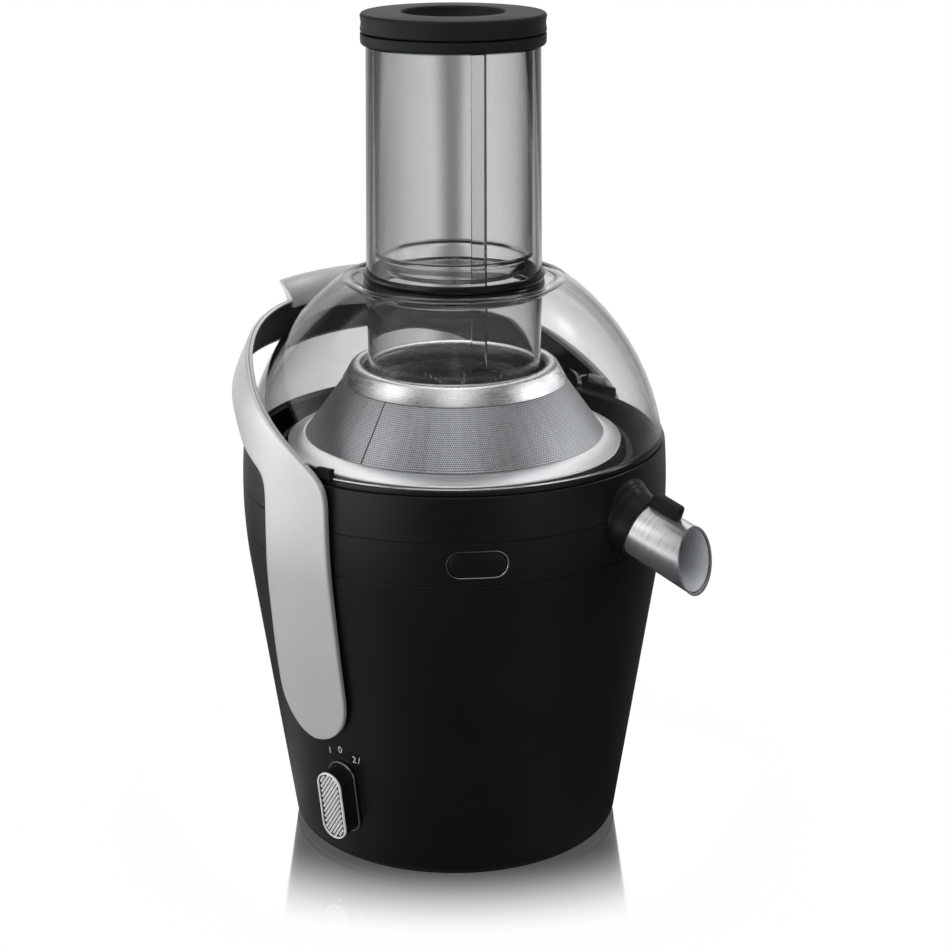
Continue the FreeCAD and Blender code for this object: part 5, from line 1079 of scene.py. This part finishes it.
def backdrop(tree, direction):
    """The pale wall behind the object, with its upright bands."""
    sideways = dot(tree, direction, toward(90.0))
    level = glows(tree, direction, WALL)
    for place, half_width, change in BANDS:
        off = calc(tree, "DIVIDE", calc(tree, "SUBTRACT", sideways, place), half_width)
        patch = calc(tree, "EXPONENT", times(tree, times(tree, off, off), -1.0))
        band = add(tree, times(tree, patch, change), 1.0)
        level = times(tree, level, band)
    return level


def choose(tree, share, otherwise, chosen):
    """One shader for a share or a kind of ray, another for the rest."""
    return node(tree, "MixShader", {0: share, 1: otherwise.outputs[0], 2: chosen.outputs[0]})


def shining(tree, kind, strength, *colour):
    """Light of a strength, white where no colour is given."""
    return node(tree, kind, {"Color": grey(*(colour or (1.0,))), "Strength": strength})


# how far the floor's mirror reaches: full inside the first oval, gone outside the second
MIRROR_INNER, MIRROR_OUTER, MIRROR_SIDE, MIRROR_SHARE = 0.075, 0.148, 0.75, 0.92


def white_floor():
    """White, with a mirror close to the object that fades away. Gloss and glass see the room."""
    material, tree = new_material("floor_white")
    ray = node(tree, "LightPath").outputs
    place = object_place(tree)
    away = length(tree, place)
    panels = glows(tree, level_direction(tree, place), PANELS)
    reach = between(tree, away, 0.20, 1.4, 0.42, 1.25)
    seen_dark = add(tree, times(tree, panels, reach), 0.03)
    clean = between(tree, away, 0.965, 1.0, 0.10, 0.32)
    plain = node(tree, "BsdfDiffuse", {"Color": grey(0.82)})
    lit = choose(tree, clean, plain, shining(tree, "Emission", 1.0))
    from_lens = node(tree, "VectorMath", {0: place, 1: (LENS_X, LENS_Y, 0.0)},
                     operation="SUBTRACT").outputs["Vector"]
    wall = add(tree, backdrop(tree, level_direction(tree, from_lens)), 0.05)
    shown = choose(tree, ray["Is Camera Ray"], plain, lit)
    shown = choose(tree, ray["Is Glossy Ray"], shown, shining(tree, "Emission", seen_dark))
    shown = choose(tree, ray["Is Transmission Ray"], shown, shining(tree, "Emission", wall))
    forward, sideways = (dot(tree, place, toward(turn)) for turn in (0.0, 90.0))
    oval = length(tree, flat_vector(tree, forward, times(tree, sideways, MIRROR_SIDE)))
    near = between(tree, oval, 1.0, 0.0, MIRROR_INNER, MIRROR_OUTER, interpolation_type="SMOOTHSTEP")
    cloud = noise(tree, 6.0, 2.0)
    haze = between(tree, cloud, 0.05, 0.09)
    mirror = node(tree, "BsdfGlossy", {"Color": grey(1.0), "Roughness": haze})
    share = times(tree, times(tree, near, MIRROR_SHARE), ray["Is Camera Ray"])
    node(tree, "OutputMaterial", {"Surface": choose(tree, share, shown, mirror).outputs[0]})
    return material


bm = bmesh.new()
bmesh.ops.create_grid(bm, x_segments=8, y_segments=8, size=20.0)
floor = new_object("floor", bm)
floor.data.materials.append(white_floor())


def softbox(name, turn, distance, height, size, energy, aim=(0.0, 0.0, 0.22)):
    """A soft lamp: its turn from the camera's side, how far off and how high, in metres."""
    data = bpy.data.lights.new(name, "AREA")
    data.shape = "RECTANGLE"
    data.size, data.size_y = size
    data.energy = energy
    lamp = bpy.data.objects.new(name, data)
    x, y, _ = toward(turn)
    lamp.location = (distance * x, distance * y, height)
    lamp.rotation_euler = (lamp.location - Vector(aim)).to_track_quat("Z", "Y").to_euler()
    lamp.visible_glossy = False
    lamp.visible_transmission = False
    bpy.context.scene.collection.objects.link(lamp)


softbox("top_box", 200.0, 0.35, 1.5, (1.3, 1.3), 13.0)
softbox("left_strip", -42.0, 1.35, 0.80, (0.40, 1.0), 6.6)
softbox("right_strip", 84.0, 1.25, 0.60, (0.30, 1.1), 3.2)
softbox("front_box", -22.0, 1.7, 1.15, (0.9, 0.7), 4.0)
softbox("back_left", -150.0, 1.3, 0.6, (0.5, 0.9), 0.4)
softbox("back_right", 140.0, 1.3, 0.6, (0.5, 0.9), 3.0)


def studio_world():
    """White for the camera, grey light on matte surfaces, own surroundings for gloss and glass."""
    world = bpy.data.worlds.new("studio")
    world.use_nodes = True
    tree = world.node_tree
    tree.nodes.clear()
    ray = node(tree, "LightPath").outputs
    sky = node(tree, "TexCoord").outputs["Generated"]
    _, _, rise = xyz(tree, sky)
    level_sky = level_direction(tree, sky)
    panels = times(tree, glows(tree, level_sky, PANELS), between(tree, rise, 1.1, 0.12, 0.0, 0.45))
    above = calc(tree, "POWER", calc(tree, "MAXIMUM", rise, 0.0), 6.0)
    overhead = add(tree, glows(tree, sky, HIGHLIGHTS), times(tree, above, 0.6))
    mirrored = add(tree, add(tree, panels, overhead), 0.04)
    wall = times(tree, backdrop(tree, level_sky), between(tree, rise, 1.0, 0.1, 0.05, 0.6))
    under_lid = calc(tree, "GREATER_THAN", ray["Transmission Depth"], LID_CROSSINGS)
    behind = add(tree, wall, times(tree, glows(tree, sky, CEILING), under_lid))
    through = add(tree, behind, add(tree, times(tree, panels, 0.3), 0.03))
    seen = shining(tree, "Background", 1.0, 0.40, 0.41, 0.42)
    seen = choose(tree, ray["Is Glossy Ray"], seen, shining(tree, "Background", mirrored))
    seen = choose(tree, ray["Is Transmission Ray"], seen, shining(tree, "Background", through))
    seen = choose(tree, ray["Is Camera Ray"], seen, shining(tree, "Background", 1.0))
    node(tree, "OutputWorld", {"Surface": seen.outputs[0]})
    return world


bpy.context.scene.world = studio_world()
bpy.context.scene.view_settings.view_transform = "Standard"
